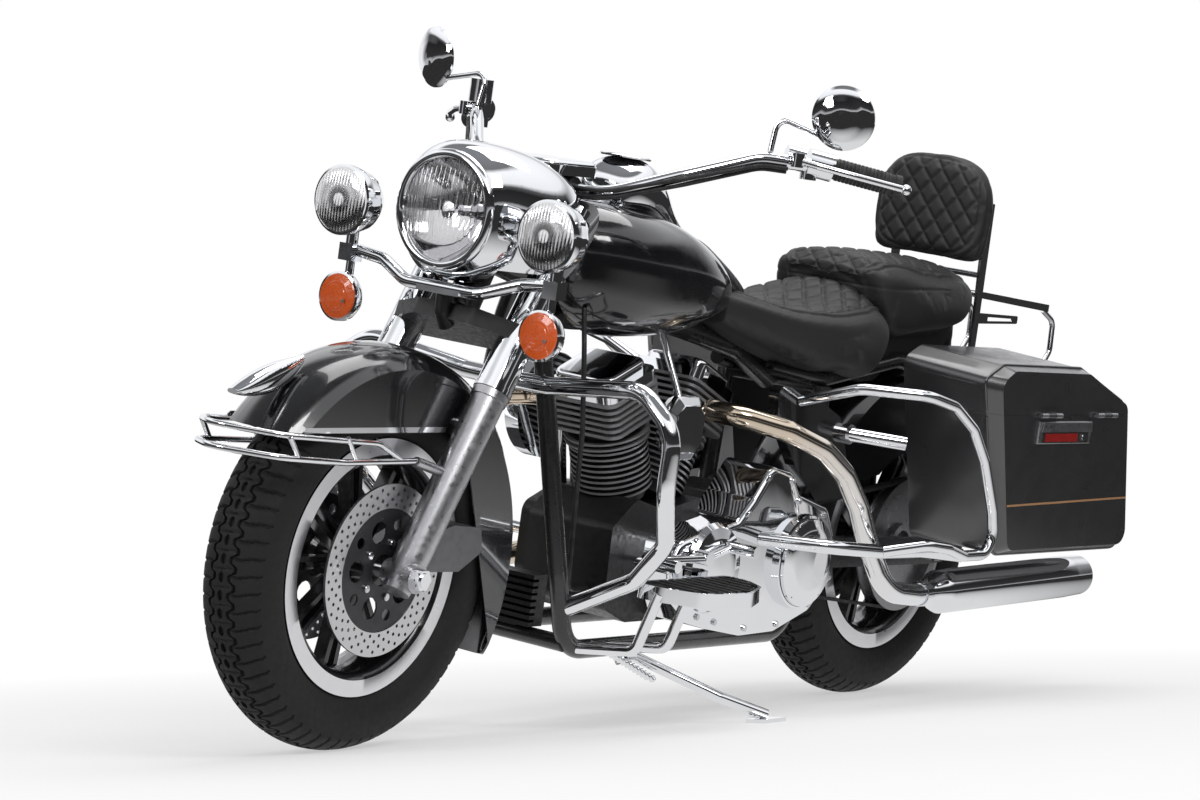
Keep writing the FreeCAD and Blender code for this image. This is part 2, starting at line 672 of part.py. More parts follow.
# What the rider holds.
grip_end, grip_in = BAR[-1], BAR[-2]
grip_along = (grip_end - grip_in).normalize()
grip_start = grip_end - grip_along * size("grip_length")
grip = less("grip", joined("grip_blank", [
    cylinder("grip_tube", grip_start, grip_along, cell("grip_radius"), cell("grip_length") - 6),
    cylinder("grip_cap", grip_end - grip_along * 6, grip_along, cell("grip_radius") + 1.5, 12)]), [
    handlebar_rod])
keep(both_sides("hand_grips", grip), "hand_grips")
up = V(0, 0, 1)
perch_at = grip_start - grip_along * 70
lever_side = V(0.72, 0.69, -0.05).normalize()
housing = joined("switch_housing", [
    cylinder("housing_drum", grip_start - grip_along * 46, grip_along, 24, 45),
    bar(grip_start - grip_along * 42 - up * 6, grip_start - grip_along * 42 - up * 30, 15)])
lever_root = perch_at + lever_side * 34
perch = joined("lever_perch", [
    cylinder("perch_drum", perch_at - grip_along * 16, grip_along, 20, 32),
    bar(perch_at + lever_side * 10, lever_root, 12),
    bar(lever_root - up * 12, lever_root + up * 12, 11),
    rod([lever_root, lever_root + lever_side * 14 + grip_along * 34,
         grip_start + lever_side * 50 + grip_along * 36,
         grip_end + lever_side * 40 + grip_along * 6], 6, 26),
    Part.makeSphere(9.5, grip_end + lever_side * 40 + grip_along * 10)])
bar_room = handlebar_rod
controls_left = grouped("left_controls", [less("perch_bored", perch, [bar_room]),
                                          less("housing_bored", housing, [bar_room])])
can_at = perch_at + V(14, 0, 34)
can = joined("fluid_can", [bar(can_at - up * 22, can_at + up * 20, 22), perch])
controls_right = grouped("right_controls", [less("brake_perch_bored", can, [bar_room]),
                                            less("throttle_housing_bored", housing, [bar_room])])
right_side = doc.addObject("Part::Mirroring", "right_controls_mirrored")
right_side.Source, right_side.Normal = controls_right, V(0, 1, 0)
keep(grouped("hand_controls", [controls_left, right_side]), "hand_controls")
mirror_at = spot(998, 450, 1158)
mirror_faces = V(-0.93, -0.3, 0.1)
mirror_foot = BAR[3] + (BAR[2] - BAR[3]) * 0.86
mirror = joined("mirror", [
    turned("mirror_bowl", ((0, -16), (22, -14), (48, -6), (56, 0), (56, 4), (0, 4)),
           at=mirror_at, axis=mirror_faces),
    rod([mirror_foot + up * (size("bar_radius") + 1.2), mirror_foot + V(-13, -2, 75),
         mirror_at + V(6, -30, -36),
         mirror_at + V(8, -6, -6)], 5, 20)])
keep(both_sides("mirrors", mirror), "mirrors")


def beside_bar(turns, reach):
    """A cable tied to the bar from its middle to a lever: below it there, in front of it inside."""
    line = [V(BAR[0].x, 72, BAR[0].z)] + BAR
    points = []
    for i, turn in enumerate(turns):
        run = (line[i + 1] - line[max(i - 1, 0)]).normalize()
        front = run.cross(V(0, 0, 1)).normalize()
        above = front.cross(run)
        turn = math.radians(turn)
        points.append(line[i] + (front * math.sin(turn) - above * math.cos(turn)) * reach)
    points.append(points[3] + (BAR[3] - BAR[2]) * 0.36)
    return rod(points, 3.6, 90)


cable = beside_bar((70, 66, 34, 10), 17.9)
brake_line = beside_bar((112, 108, 76, 50), 17.8)
keep(grouped("control_cables", [cable, brake_line, mirrored(cable), mirrored(brake_line)]),
     "control_cables")

# Frame. The pivot pin of the side stand leans so that the ground's push closes the leg.
rail_y, tube_r = size("frame_half_width"), size("frame_tube_radius")
rail_z = 170
down_left_line = spots([(1232, 16, 812), (1226, 40, 740), (1184, rail_y, 300),
                        (1140, rail_y, rail_z), (470, rail_y, rail_z),
                        (415, rail_y, 250), (410, 112, 640)])
down_left = rod(down_left_line, tube_r, 70)
backbone_line = spots([(1330, 0, 838), (1180, 0, 800), (900, 0, 762), (560, 0, 700), (430, 0, 640)])
backbone = rod(backbone_line, 24, 120)
seat_rail = rod(spots([(520, 60, 668), (400, 106.4, 652), (150, 106.4, 690), (-262, 106.4, 640)]),
                14, 80)
STAND_AXIS = V(-0.735, 0.606, 0.303).normalize()
stand_pivot = spot(size("stand_x"), size("stand_y"), size("stand_z"))
hub_half, lug_gap = 9, 0.3
lug_inner = stand_pivot - STAND_AXIS * (hub_half + lug_gap)
lug = bar(stand_pivot - STAND_AXIS * 28, lug_inner, 13.4)
for tube in (bar(stand_pivot - STAND_AXIS * 24, stand_pivot + STAND_AXIS * hub_half, 6),
             bar(stand_pivot - STAND_AXIS * 20, spot(996, rail_y, rail_z), 8)):
    lug = lug.fuse(tube)
spring_start, spring_end = spot(1090, 152, 186), spot(972, 200, 126)
spring_along = (spring_end - spring_start).normalize()
spring_aside = spring_along.cross(V(0, 0, 1)).normalize() * 9
spring_lug = [bar(spot(1092, rail_y, rail_z), spring_start, 5),
              bar(spring_start - spring_aside, spring_start + spring_aside, 5)]
crosses = [bar(spot(x, -rail_y, z), spot(x, rail_y, z), 15)
           for x, z in ((1142, 182), (470, 182), (412, 420))]
seat_cross = bar(spot(404, -106, 640), spot(404, 106, 640), 16)
head_tube = cylinder("head_tube", on_steering(752), steer_dir, cell("head_tube_radius"), 184)
stem_room = cylinder("stem_room", on_steering(700), steer_dir,
                     cell("stem_radius") + cell("running_clearance"), 260)
welded = down_left
for tube in ([mirrored(down_left), backbone, seat_rail, mirrored(seat_rail), seat_cross] + crosses
             + spring_lug):
    welded = welded.fuse(tube)
tubes = less("frame_bored", joined("frame_tubes", [head_tube, welded]), [stem_room])
tubes.Refine = False
keep(joined("frame", [tubes, lug]), "frame")


def coil(start, end, radius, turns):
    """A closely wound spring, as a ribbed round bar."""
    length = (end - start).Length
    outline = [(0, 0), (0, radius - 2)]
    for i in range(turns):
        base = length * (i + 0.15) / turns
        outline += [(base, radius - 2), (base + length * 0.35 / turns, radius),
                    (base + length * 0.7 / turns, radius - 2)]
    outline += [(length, radius - 2), (length, 0)]
    return revolved(outline, start, end - start)


springs = [coil(spring_start + spring_along * (5 + gap) + spring_aside * s,
                spring_end + spring_aside * s, 7, 14) for s in (-1, 1)]
keep(grouped("stand_springs", springs), "stand_springs")

# Swingarm.
arm_inner = arm_outer - 20
arm = side_plate(((520, 300), (520, 362), (20, 345), (-48, 342), (-48, 296), (20, 294)),
                 arm_inner, arm_outer, 10)
pivot_r = 24
arm_cross = side_plate(((392, 300), (392, 360), (372, 358), (372, 302)), -arm_inner, arm_inner, 6)
axle_room = cylinder("rear_axle_room", V(0, -200, axle_z), V(0, 1, 0), cell("axle_radius"), 400)
rear_caliper = side_plate(((84, 345), (84, 415), (148, 398), (142, 335)), -106, -54, 8)
rear_caliper = rear_caliper.cut(Part.makeCylinder(size("disc_radius") + 3, 13, V(0, -79, axle_z),
                                                  V(0, 1, 0)))
caliper_arm = side_plate(((90, 322), (90, 380), (134, 380), (134, 322)), -142, -96, 6)
belt_room = Part.makeBox(60, belt_w.number + 14, 90, spot(400, size("hub_half_width") - 2, 285))
keep(less("swingarm", joined("swingarm_blank", [
    arm, mirrored(arm), cylinder("pivot_tube", spot(500, -arm_inner, 331), V(0, 1, 0), pivot_r,
                                 2 * arm_inner), arm_cross, rear_caliper, caliper_arm]),
    [axle_room, belt_room]), "swingarm")

# Engine.
crank = spot(size("crank_x"), 0, size("crank_z"))
case_side = ((1000, 232), (1005, 380), (940, 430), (850, 408), (740, 430), (690, 400), (690, 232),
             (760, 205), (930, 205))
primary_inner = 96
crankcase = side_plate(case_side, -92, primary_inner - gap, 22)
cam_cover = side_plate(((980, 250), (980, 385), (880, 425), (760, 425), (712, 330), (730, 250)),
                       -128, -91, 26)
cam_disc = bar(spot(850, -127, 335), spot(850, -136, 335), 46)
keep(joined("crankcase", [crankcase, cam_cover, cam_disc]), "crankcase")


def along_cylinder(side):
    angle = math.radians(size("cylinder_angle")) * side
    return V(math.sin(angle), 0, math.cos(angle))


head_base, head_height = 262, 66


def head_block(side):
    head = Part.makeBox(150, 158, head_height, V(-75, -79, head_base))
    head = head.makeFillet(22, [e for e in head.Edges if abs(e.tangentAt(e.FirstParameter).z) > 0.9])
    head.Placement = Place(crank, Rot(V(0, 1, 0), size("cylinder_angle") * side))
    return head


def finned_cylinder(side):
    """One barrel with its head, in fins."""
    up_axis = along_cylinder(side)
    turn = Rot(V(0, 1, 0), size("cylinder_angle") * side)
    barrel_r, pitch, thick = size("barrel_radius"), size("fin_pitch"), size("fin_thickness")
    core = [bar(crank + up_axis * 112, crank + up_axis * head_base, barrel_r - 14)]
    for i in range(11):
        wide = barrel_r + (6 if i > 8 else 0)
        level = 132 + i * pitch
        core.append(bar(crank + up_axis * level, crank + up_axis * (level + thick), wide))
    head = head_block(side)
    slots = []
    for i in range(5):
        level = head_base + 6 + i * 12
        slot = Part.makeBox(200, 200, 6.5, V(-100, -100, level))
        cut = slot.cut(Part.makeBox(104, 112, 8, V(-52, -56, level - 0.5)))
        cut.Placement = Place(crank, turn)
        slots.append(cut)
    return fused(core + [head.cut(slots)]).cut([crankcase, cam_cover])


barrels = [finned_cylinder(1), finned_cylinder(-1)]
keep(grouped("cylinders", barrels), "cylinders")


def rocker_box(side):
    turn = Rot(V(0, 1, 0), size("cylinder_angle") * side)
    low = face_on([(-72, -76, 0), (72, -76, 0), (72, 76, 0), (-72, 76, 0)], 20).extrude(V(0, 0, 22))
    high = face_on([(-60, -66, 0), (60, -66, 0), (60, 66, 0), (-60, 66, 0)], 24).extrude(V(0, 0, 44))
    top = [e for e in high.Edges if e.CenterOfMass.z > 43.9]
    box = fused([low, high.makeFillet(10, top)])
    box.Placement = Place(crank + along_cylinder(side) * (head_base + head_height), turn)
    return box


keep(grouped("rocker_boxes", [rocker_box(1), rocker_box(-1)]), "rocker_boxes")
push_tubes = []
for side in (1, -1):
    for aside in (-14, 14):
        foot = crank + V(side * 34 + aside * 1.4, -110, 98)
        top = crank + along_cylinder(side) * 266 + V(aside * 1.6, -84, 0)
        push_tubes.append(bar(foot, top, 9).cut([cam_cover, head_block(side), rocker_box(side)]))
keep(grouped("pushrod_tubes", push_tubes), "pushrod_tubes")

# Primary drive cover on the left.
primary_outer = 205
primary_side = ((966, 322), (940, 372), (833, 394), (765, 406), (723, 446), (676, 506), (606, 494),
                (574, 452), (470, 424), (430, 361), (426, 285), (492, 226), (596, 193), (705, 190),
                (813, 207), (873, 219), (940, 262))
primary_block = side_plate(primary_side, primary_inner, primary_outer, 26)
primary_block = primary_block.makeFillet(12, [e for e in primary_block.Edges
                                              if e.CenterOfMass.y > primary_outer - 0.01])
clutch = spot(size("clutch_x"), primary_outer, size("clutch_z"))
derby_r = cell("derby_radius")
derby = turned("derby_cover", ((0, -1), (derby_r + 8, -1), (derby_r + 6, 14), (derby_r + 1, 15),
                               (derby_r, 22), (derby_r - 20, 29), (0, 32)), at=clutch)
crank_bulge = turned("crank_bulge", ((0, -1), (84, -1), (76, 10), (50, 16), (0, 17)),
                     at=spot(size("crank_x"), primary_outer, size("crank_z") + 4))
hollow = [Part.makeBox(along(545) - 400, arm_outer + 3 - 90, 90, V(400, 90, 284)),
          Part.makeBox(along(442) - 390, 56, 250, V(390, 88, 180)),
          Part.makeBox(along(630) - 400, belt_w.number + 4, 160, V(400, 88, 245))]
keep(less("primary_cover", joined("primary_blank", [primary_block, derby, crank_bulge]), hollow),
     "primary_cover")
sprocket_r, sprocket_x = 60, 552
gearbox = joined("gearbox", [
    side_plate(((690 - gap, 215), (690 - gap, 400), (640, 430), (470, 430), (446, 380), (446, 240)), -100, 60, 20),
    bar(spot(sprocket_x, 59, axle_z), spot(sprocket_x, 94, axle_z), sprocket_r - gap)])
keep(less("transmission", gearbox, [bar(spot(500, -170, 331), spot(500, 170, 331), pivot_r + gap)]),
     "transmission")

air_r = cell("air_cleaner_radius")
manifold = fused([bar(spot(838 - 60, 0, 585), spot(838 + 60, 0, 585), 17),
                  bar(spot(850, -125, 565), spot(845, 0, 580), 20)])
manifold = manifold.cut([head_block(1), head_block(-1)] + barrels)
manifold = max(manifold.Solids, key=lambda s: s.Volume)
keep(joined("air_cleaner", [
    turned("air_cleaner_cover", ((0, 0), (air_r, 0), (air_r, 30), (air_r - 8, 38),
                                 (air_r * 0.6, 42), (0, 44)), at=spot(905, -150, 560),
           axis=(0, -1, 0)),
    cylinder("air_cleaner_neck", spot(862, -120, 562), V(0, -1, 0), 26, 36), manifold]),
     "air_cleaner")


def octagon(centre, y, half):
    """An upright octagonal outline about a centre."""
    cut = half * 0.45
    corners = ((half, half - cut), (half - cut, half), (cut - half, half), (-half, half - cut),
               (-half, cut - half), (cut - half, -half), (half - cut, -half), (half, cut - half))
    return Part.makePolygon([V(centre.x + x, y, centre.z + z) for x, z in corners + corners[:1]])


horn_at = spot(862, 0, 563)
horn = lofted([octagon(horn_at, 96, 50), octagon(horn_at, 112, 58), octagon(horn_at, 122, 58),
               octagon(horn_at, 134, 42)], ruled=True)
horn_stay = [bar(spot(838, 96, 590), spot(838, 24, 728), 7), bar(spot(838, 24, 728), spot(838, 22, 735), 9)]
keep(less("horn_cover", joined("horn_blank", [horn] + horn_stay),
          [rod(backbone_line, 24 + gap, 120)]), "horn_cover")
regulator = Part.makeBox(40, 120, 92, spot(1130, -60, 200 + gap))
reg_slots = [Part.makeBox(30, 130, 5, spot(1154, -65, 208 + i * 12)) for i in range(7)]
regulator_foot = Part.makeBox(46, 60, 14, spot(1120, -30, 197 + gap))
keep(as_object(fused([regulator, regulator_foot]).cut(reg_slots + [bar(spot(1142, -130, 182),
                                                                       spot(1142, 130, 182), 15)]),
               "regulator"), "regulator")

# Exhaust.
muffler_y, muffler_r, pipe_r = size("muffler_offset"), cell("muffler_radius"), cell("pipe_radius")
muffler_at = V(290, muffler_y, 275)
muffler = turned("muffler", ((pipe_r + fit, 2), (pipe_r + 3, 0), (pipe_r + 4, 26), (muffler_r, 70),
                             (muffler_r, 540), (muffler_r - 2, 606), (30, 606), (30, 590),
                             (pipe_r + fit, 590)), at=muffler_at, axis=V(-1, 0, 0.0255))
keep(both_sides("mufflers", muffler), "mufflers")
pipe_end = muffler_at + V(-1, 0, 0.0255) * 30
crossover = rod(spots([(742, 30, 590), (716, 140, 588), (650, 200, 572),
                       (575, 238, 542), (520, 256, 500), (462, 262, 436), (430, 272, 370),
                       (398, 306, 282)]) + [muffler_at + V(24, 0, -0.6), pipe_end], pipe_r.number, 60)
right_front = rod(spots([(990, -50, 592), (1060, -90, 592), (1090, -130, 585), (1130, -165, 500),
                         (1120, -190, 300), (1020, -230, 256), (700, -280, 262)])
                  + [V(muffler_at.x + 24, -muffler_y, 274.4), V(pipe_end.x, -muffler_y, pipe_end.z)],
                  pipe_r.number, 60)
ports = [head_block(1), head_block(-1), rocker_box(1), rocker_box(-1)]
keep(grouped("exhaust_pipes", [max(pipe.cut(ports).Solids, key=lambda s: s.Volume)
                               for pipe in (crossover, right_front)]), "exhaust_pipes")

# Tank, console and seats.
TANK = ((1200, 34, 806, 896), (1172, 86, 768, 928), (1128, 126, 734, 948), (1060, 152, 716, 952),
        (950, 158, 716, 940), (860, 152, 730, 912), (790, 130, 750, 874), (738, 96, 766, 838),
        (708, 56, 780, 812))
tank_block = hull_along_x(TANK, 2.5)
tunnel = side_plate(((1300, 690), (1300, 872), (1180, 850), (900, 800), (690, 770), (690, 690)),
                    -34, 34, 5)
sweep_room = 172
fork_sweep = bar(on_steering(600), on_steering(1060), sweep_room)
tank = tank_block.cut([tunnel, fork_sweep])
keep(as_object(tank, "fuel_tank"), "fuel_tank")
CONSOLE = ((1052, 30, 936, 988), (1040, 56, 930, 1012), (1012, 70, 926, 1030), (975, 72, 920, 1033),
           (930, 64, 912, 1012), (885, 50, 900, 968), (830, 40, 872, 926), (770, 32, 840, 888),
           (735, 18, 820, 852))
keep(as_object(hull_along_x(CONSOLE, 2.3).cut(hull_along_x(TANK, 2.5)), "tank_console"),
     "tank_console")


def saddle(stations, grow=0.0):
    """A cushion of flat-topped sections: (x, half width, bottom, edge height, middle height)."""
    wires = []
    for x, half, low, edge, middle in stations:
        w, low, edge, middle = half + grow, low - grow, edge + grow, middle + grow
        side = (edge - low)
        pts = [(0, middle), (w * 0.45, middle - (middle - edge) * 0.22),
               (w * 0.8, edge + (middle - edge) * 0.25), (w * 0.97, edge - side * 0.12),
               (w, low + side * 0.5), (w * 0.93, low + side * 0.12), (w * 0.7, low), (0, low)]
        ring = pts + [(-y, z) for y, z in reversed(pts[1:-1])]
        curve = Part.BSplineCurve()
        curve.interpolate(Points=[spot(x, y, z) for y, z in ring], PeriodicFlag=True)
        wires.append(Part.Wire([curve.toShape()]))
    return lofted(wires)


RIDER = ((724, 84, 752, 812, 826), (670, 114, 730, 804, 806), (600, 140, 706, 790, 786),
         (520, 158, 684, 782, 778), (440, 169, 670, 782, 782), (360, 172, 662, 788, 804),
         (300, 168, 662, 792, 836), (262, 158, 690, 780, 846), (240, 140, 715, 762, 836))
PILLION = ((296, 96, 846, 860, 872), (266, 132, 806, 866, 884), (230, 148, 748, 868, 889),
           (150, 154, 742, 864, 889), (40, 150, 752, 856, 886), (-50, 138, 765, 850, 880),
           (-98, 116, 775, 838, 868), (-120, 90, 787, 822, 850))
rails = [seat_rail, mirrored(seat_rail)]
rear_round = revolved([(-130, 0), (-130, size("tyre_radius") + size("fender_gap") + gap),
                       (130, size("tyre_radius") + size("fender_gap") + gap), (130, 0)],
                      V(0, 0, axle_z), (0, 1, 0))
seat_pan = side_plate(((252, 640), (252, 770), (-96, 800), (-96, 660)), -90, 90, 12)
pillion = fused([saddle(PILLION), seat_pan]).cut(rails + [rear_round])
keep(as_object(pillion, "passenger_seat"), "passenger_seat")
rider = saddle(RIDER).cut([saddle(PILLION, 0.6), Part.makeBox(60, 200, 200, V(195, -100, 600)),
                           hull_along_x([(x, w + gap, a - gap, b + gap) for x, w, a, b in TANK], 2.5),
                           hull_along_x([(x, w + gap, a - gap, b + gap) for x, w, a, b in CONSOLE],
                                        2.3), backbone] + rails)
keep(as_object(rider, "rider_seat"), "rider_seat")
BIB = ((806, 50, 872, 904), (770, 60, 838, 896), (720, 64, 800, 872), (672, 66, 770, 846),
       (640, 60, 770, 826))
bib = hull_along_x(BIB, 3).cut([hull_along_x([(x, w + gap, a - gap, b + gap)
                                              for x, w, a, b in stations], power)
                                for stations, power in ((TANK, 2.5), (CONSOLE, 2.3))]
                               + [saddle(RIDER, gap)])
keep(as_object(max(bib.Solids, key=lambda s: s.Volume), "tank_bib"), "tank_bib")

PAD_HALF = ((0, 1103), (60, 1098), (102, 1078), (128, 1040), (137, 985), (135, 930), (124, 896),
            (96, 886), (48, 884), (0, 883))
pad_mid, pad_rear = V(0, 0, 993), -118.0


def pad_ring(x, share):
    ring = list(PAD_HALF) + [(-y, z) for y, z in reversed(PAD_HALF[1:-1])]
    curve = Part.BSplineCurve()
    curve.interpolate(Points=[V(x, y * share, pad_mid.z + (z - pad_mid.z) * share) for y, z in ring],
                      PeriodicFlag=True)
    return Part.Wire([curve.toShape()])


keep(as_object(lofted([pad_ring(pad_rear, 0.86), pad_ring(pad_rear + 14, 0.98),
                       pad_ring(pad_rear + 44, 1.0), pad_ring(pad_rear + 60, 0.86)]),
               "backrest_pad"), "backrest_pad")
rack = [side_plate(((-118 - gap - 27, 672), (-118 - gap - 27, 780), (-118 - gap - 24, 1010),
                    (-118 - gap, 1010), (-118 - gap, 900), (-126, 780), (-126, 672)),
                   s * 103 - 3, s * 103 + 3, 3) for s in (-1, 1)]
rack += [bar(V(-130, -103, z), V(-130, 103, z), 6) for z in (865, 960)]
rack += [side_plate(((-135, 820), (-135, 833), (-420, 812), (-420, 797)), s * 103 - 3, s * 103 + 3, 2)
         for s in (-1, 1)]
rack += [bar(V(x, -103, 826 + (x + 150) * 0.075), V(x, 103, 826 + (x + 150) * 0.075), 5)
         for x in (-190, -240, -290, -340, -390, -416)]
rack += [side_plate(((-140, 768), (-140, 790), (-300, 786), (-300, 770)), s * 103 - 2, s * 103 + 2, 4)
         .cut(side_plate(((-180, 774), (-180, 782), (-280, 780), (-280, 775)), s * 103 - 4,
                         s * 103 + 4, 2)) for s in (-1, 1)]
rack += [rod([(-410, s * 98, 800), (-458, s * 98, 778), (-462, s * 98, 715), (-420, s * 98, 664),
              (-250, s * 98, 636)], 6, 24) for s in (-1, 1)]
deck = Part.makeBox(112, 120, 4, V(-346, -60, 814.3))
deck.rotate(V(-346, 0, 814.3), V(0, 1, 0), -4.3)
rack.append(deck)
rack_feet = [seat_rail, mirrored(seat_rail)]
keep(less("luggage_rack", joined("rack_blank", rack), rack_feet), "luggage_rack")

REAR_KEEP = ((380, 320), (380, 122), (250, 122), (80, 150), (-250, 180), (-390, 40), (-440, 40),
             (-440, 440), (300, 440))
rear_fender = fender_shell(size("rear_fender_half_width"), V(0, 0, axle_z), REAR_KEEP)
keep(as_object(rear_fender.cut([seat_cross] + rails), "rear_fender"), "rear_fender")
cover_plate = side_plate(((650, 652), (534, 636), (424, 590), (380, 505), (336, 440), (470, 430),
                          (560, 500), (640, 590)), 150, 172, 18)
cover_posts = [bar(spot(405, 120, z), spot(405, 152, z), 9) for z in (470, 560)]
down_rear = rod(spots([(415, rail_y, 250), (410, 112, 640)]), tube_r + gap)
keep(both_sides("side_covers", as_object(fused([cover_plate] + cover_posts).cut([down_rear]),
                                         "side_cover")), "side_covers")

# Saddlebags: hollow boxes with a lid that hinges at its outer edge.
bag_low, bag_seam, bag_in, bag_out = (size("bag_floor"), size("bag_seam"), size("bag_inner"),
                                      size("bag_outer"))


def bag_block(shrink):
    """The closed form of a left bag, drawn in by a wall."""
    sections = []
    for y, pull, front_top, ridge, rear_top in (
            (bag_in + shrink, 0, (286, 76), 102, (-292, 36)),
            (bag_out - 26, 0, (288, 64), 92, (-262, 22)),
            (bag_out - shrink, 12, (276, 60), 84, (-252, 18))):
        s = shrink + pull
        low, crest = bag_low + s, bag_seam + ridge - shrink
        outline = [V(168 - s, y, low), V(front_top[0] - s, y, bag_seam + front_top[1] - shrink),
                   V(226 - s * 0.5, y, crest), V(-70, y, crest - 4),
                   V(rear_top[0] + s, y, bag_seam + rear_top[1] - shrink),
                   V(-344 + (y - bag_in) * 0.09 + s, y, low)]
        sections.append(rounded_path(outline, 26 - shrink, closed=True))
    return lofted(sections, ruled=True)


bag_shell = bag_block(0).cut(bag_block(size("bag_wall")))
room = V(-500, 150, bag_seam)
lid_left = bag_shell.common(Part.makeBox(1000, 400, 300, room))
bag_left = bag_shell.common(Part.makeBox(1000, 400, 400, room - V(0, 0, 400 + gap)))
rail_rooms = [rod(spots([(520, 60, 668), (400, 106.4, 652), (150, 106.4, 690), (-262, 106.4, 640)]),
                  14 + gap, 80)]
bag_stays = [bar(V(x, 108, z - 4), V(x, bag_in + 2, 606), 9).cut(rail_rooms)
             for x, z in ((110, 686), (-190, 650))]
bag_left = fused([bag_left] + [max(stay.Solids, key=lambda s: s.CenterOfMass.y)
                               for stay in bag_stays])
keep(as_object(bag_left, "saddlebag_left"), "saddlebag_left")
keep(as_object(mirrored(bag_left), "saddlebag_right"), "saddlebag_right")
hinge_y, knuckle_r, pin_r = size("lid_hinge_y"), 5, 2
run = size("running_clearance")
lid_knuckles, bag_knuckles, pins = [], [], []
for x in (-160, 60):
    at_hinge = V(x, hinge_y, bag_seam)
    lid_knuckles.append(fused([bar(at_hinge, at_hinge + V(30, 0, 0), knuckle_r),
                               Part.makeBox(30, 9, 4, at_hinge + V(0, -10, 1))]).cut(
        bar(at_hinge - V(5, 0, 0), at_hinge + V(40, 0, 0), pin_r + run)))
    pins.append(bar(at_hinge - V(24, 0, 0), at_hinge + V(54, 0, 0), pin_r))
    for start in (-24, 30 + gap):
        bag_knuckles += [bar(at_hinge + V(start, 0, 0), at_hinge + V(start + 24 - gap, 0, 0), knuckle_r),
                         Part.makeBox(24 - gap, 7 - gap, 4.5,
                                      at_hinge + V(start, -7 + gap, -5))]
lid_left = fused([lid_left] + lid_knuckles)
keep(as_object(lid_left, "saddlebag_lid_left"), "saddlebag_lid_left")
keep(as_object(mirrored(lid_left), "saddlebag_lid_right"), "saddlebag_lid_right")
latch = Part.makeBox(206, 5, 44, V(-96, bag_out + gap, 580))
latch = latch.makeFillet(3, [e for e in latch.Edges if e.CenterOfMass.y > bag_out + 5])
keep(both_sides("bag_latches", as_object(Part.makeCompound(
    [latch] + [fused(bag_knuckles[4 * i:4 * i + 4] + [pins[i]]) for i in range(2)]), "latch_set")),
    "bag_latches")

# Guards, boards and controls.
frame_tubes = [rod(down_left_line, tube_r + gap, 70), mirrored(rod(down_left_line, tube_r + gap, 70))]
guard = rod(spots([(1246, 0, 632), (1246, 90, 634), (1262, 300, 660), (1270, 380, 600),
                   (1268, 378, 500), (1190, 340, 400), (1154, 262, 322), (1160, 120, 244)]),
            size("guard_radius"), [0, 60, 70, 70, 70, 70, 60, 0])
keep(as_object(fused([guard, mirrored(guard)]).cut(frame_tubes), "engine_guard"), "engine_guard")
loop_r, rail_r = size("bag_guard_radius"), 13
bag_loop = rod(spots([(572, 172, 622), (556, 290, 664), (486, 392, 668), (404, 404, 650),
                      (327, 404, 608), (270, 404, 546), (213, 404, 449), (196, 404, 400),
                      (219, 404, 366), (298, 404, 366), (355, 404, 381), (420, 396, 388),
                      (492, 344, 368)]), loop_r, 44)
low_rail = rod(spots([(302, 404, 367), (350, 352, 367), (480, 340, 367), (640, 330, 378),
                      (690, 200, 372)]), rail_r, 60)
bag_side = fused([bag_loop, low_rail]).cut([cover_plate, Part.makeBox(
    400, 200, 300, spot(500, primary_outer + gap - 200, 200))])
keep(both_sides("saddlebag_guards", as_object(max(bag_side.Solids, key=lambda s: s.Volume),
                                              "saddlebag_guard")), "saddlebag_guards")
BOARD = ((1128, 238), (1124, 296), (1080, 366), (960, 380), (872, 340), (834, 282), (834, 238))
board_mid = (990, 306)
inset = tuple((board_mid[0] + (x - board_mid[0]) * 0.955, board_mid[1] + (y - board_mid[1]) * 0.9)
              for x, y in BOARD)
board = fused([flat_plate(BOARD, 290, 316, 40).cut(flat_plate(inset, 280, 320, 36)),
               flat_plate(inset, 300, 312, 36)])
board_stays = [rod(spots([(x, 124, 174), (x, 258, 196), (x, 292, 304)]), 10, 24)
               for x in (1024, 1118)]
peg_at, peg_tip = V(404, 172 + gap, 560), V(330, 264, 556)
peg = fused([bar(peg_at - V(0, 0, 0), peg_tip, 14), bar(peg_at, peg_at + V(0, 14, 0), 19)])
peg_cut = Part.makeBox(300, 60, 300, V(250, 112 + gap, 420))
footboard = as_object(fused([board] + board_stays).cut(frame_tubes[0]), "footboard")
keep(both_sides("footrests", grouped("footrest_left", [footboard, as_object(peg.cut(peg_cut), "peg")])),
     "footrests")
crank_bulge_room = revolved([(-1, 0), (-1, 84.5), (10.5, 76.5), (16.5, 50), (17.5, 0)],
                            spot(size("crank_x"), primary_outer, size("crank_z") + 4), (0, 1, 0))
shifter = fused([
    rod(spots([(826, 234, 366), (900, 234, 348), (1080, 234, 350)]), 7, 30),
    bar(spot(900, primary_outer + gap, 348), spot(900, 242, 348), 13).cut(crank_bulge_room),
    bar(spot(826, 230, 366), spot(826, 290, 366), 11),
    bar(spot(1080, 230, 350), spot(1080, 298, 350), 11)])
pedal = fused([
    rod(spots([(930, -246, 330), (1030, -246, 352), (1110, -246, 392)]), 8, 20),
    bar(spot(930, -128 - gap, 330), spot(930, -256, 330), 11),
    Part.makeBox(72, 58, 10, spot(1086, -281, 388))])
keep(grouped("foot_controls", [shifter, pedal]), "foot_controls")

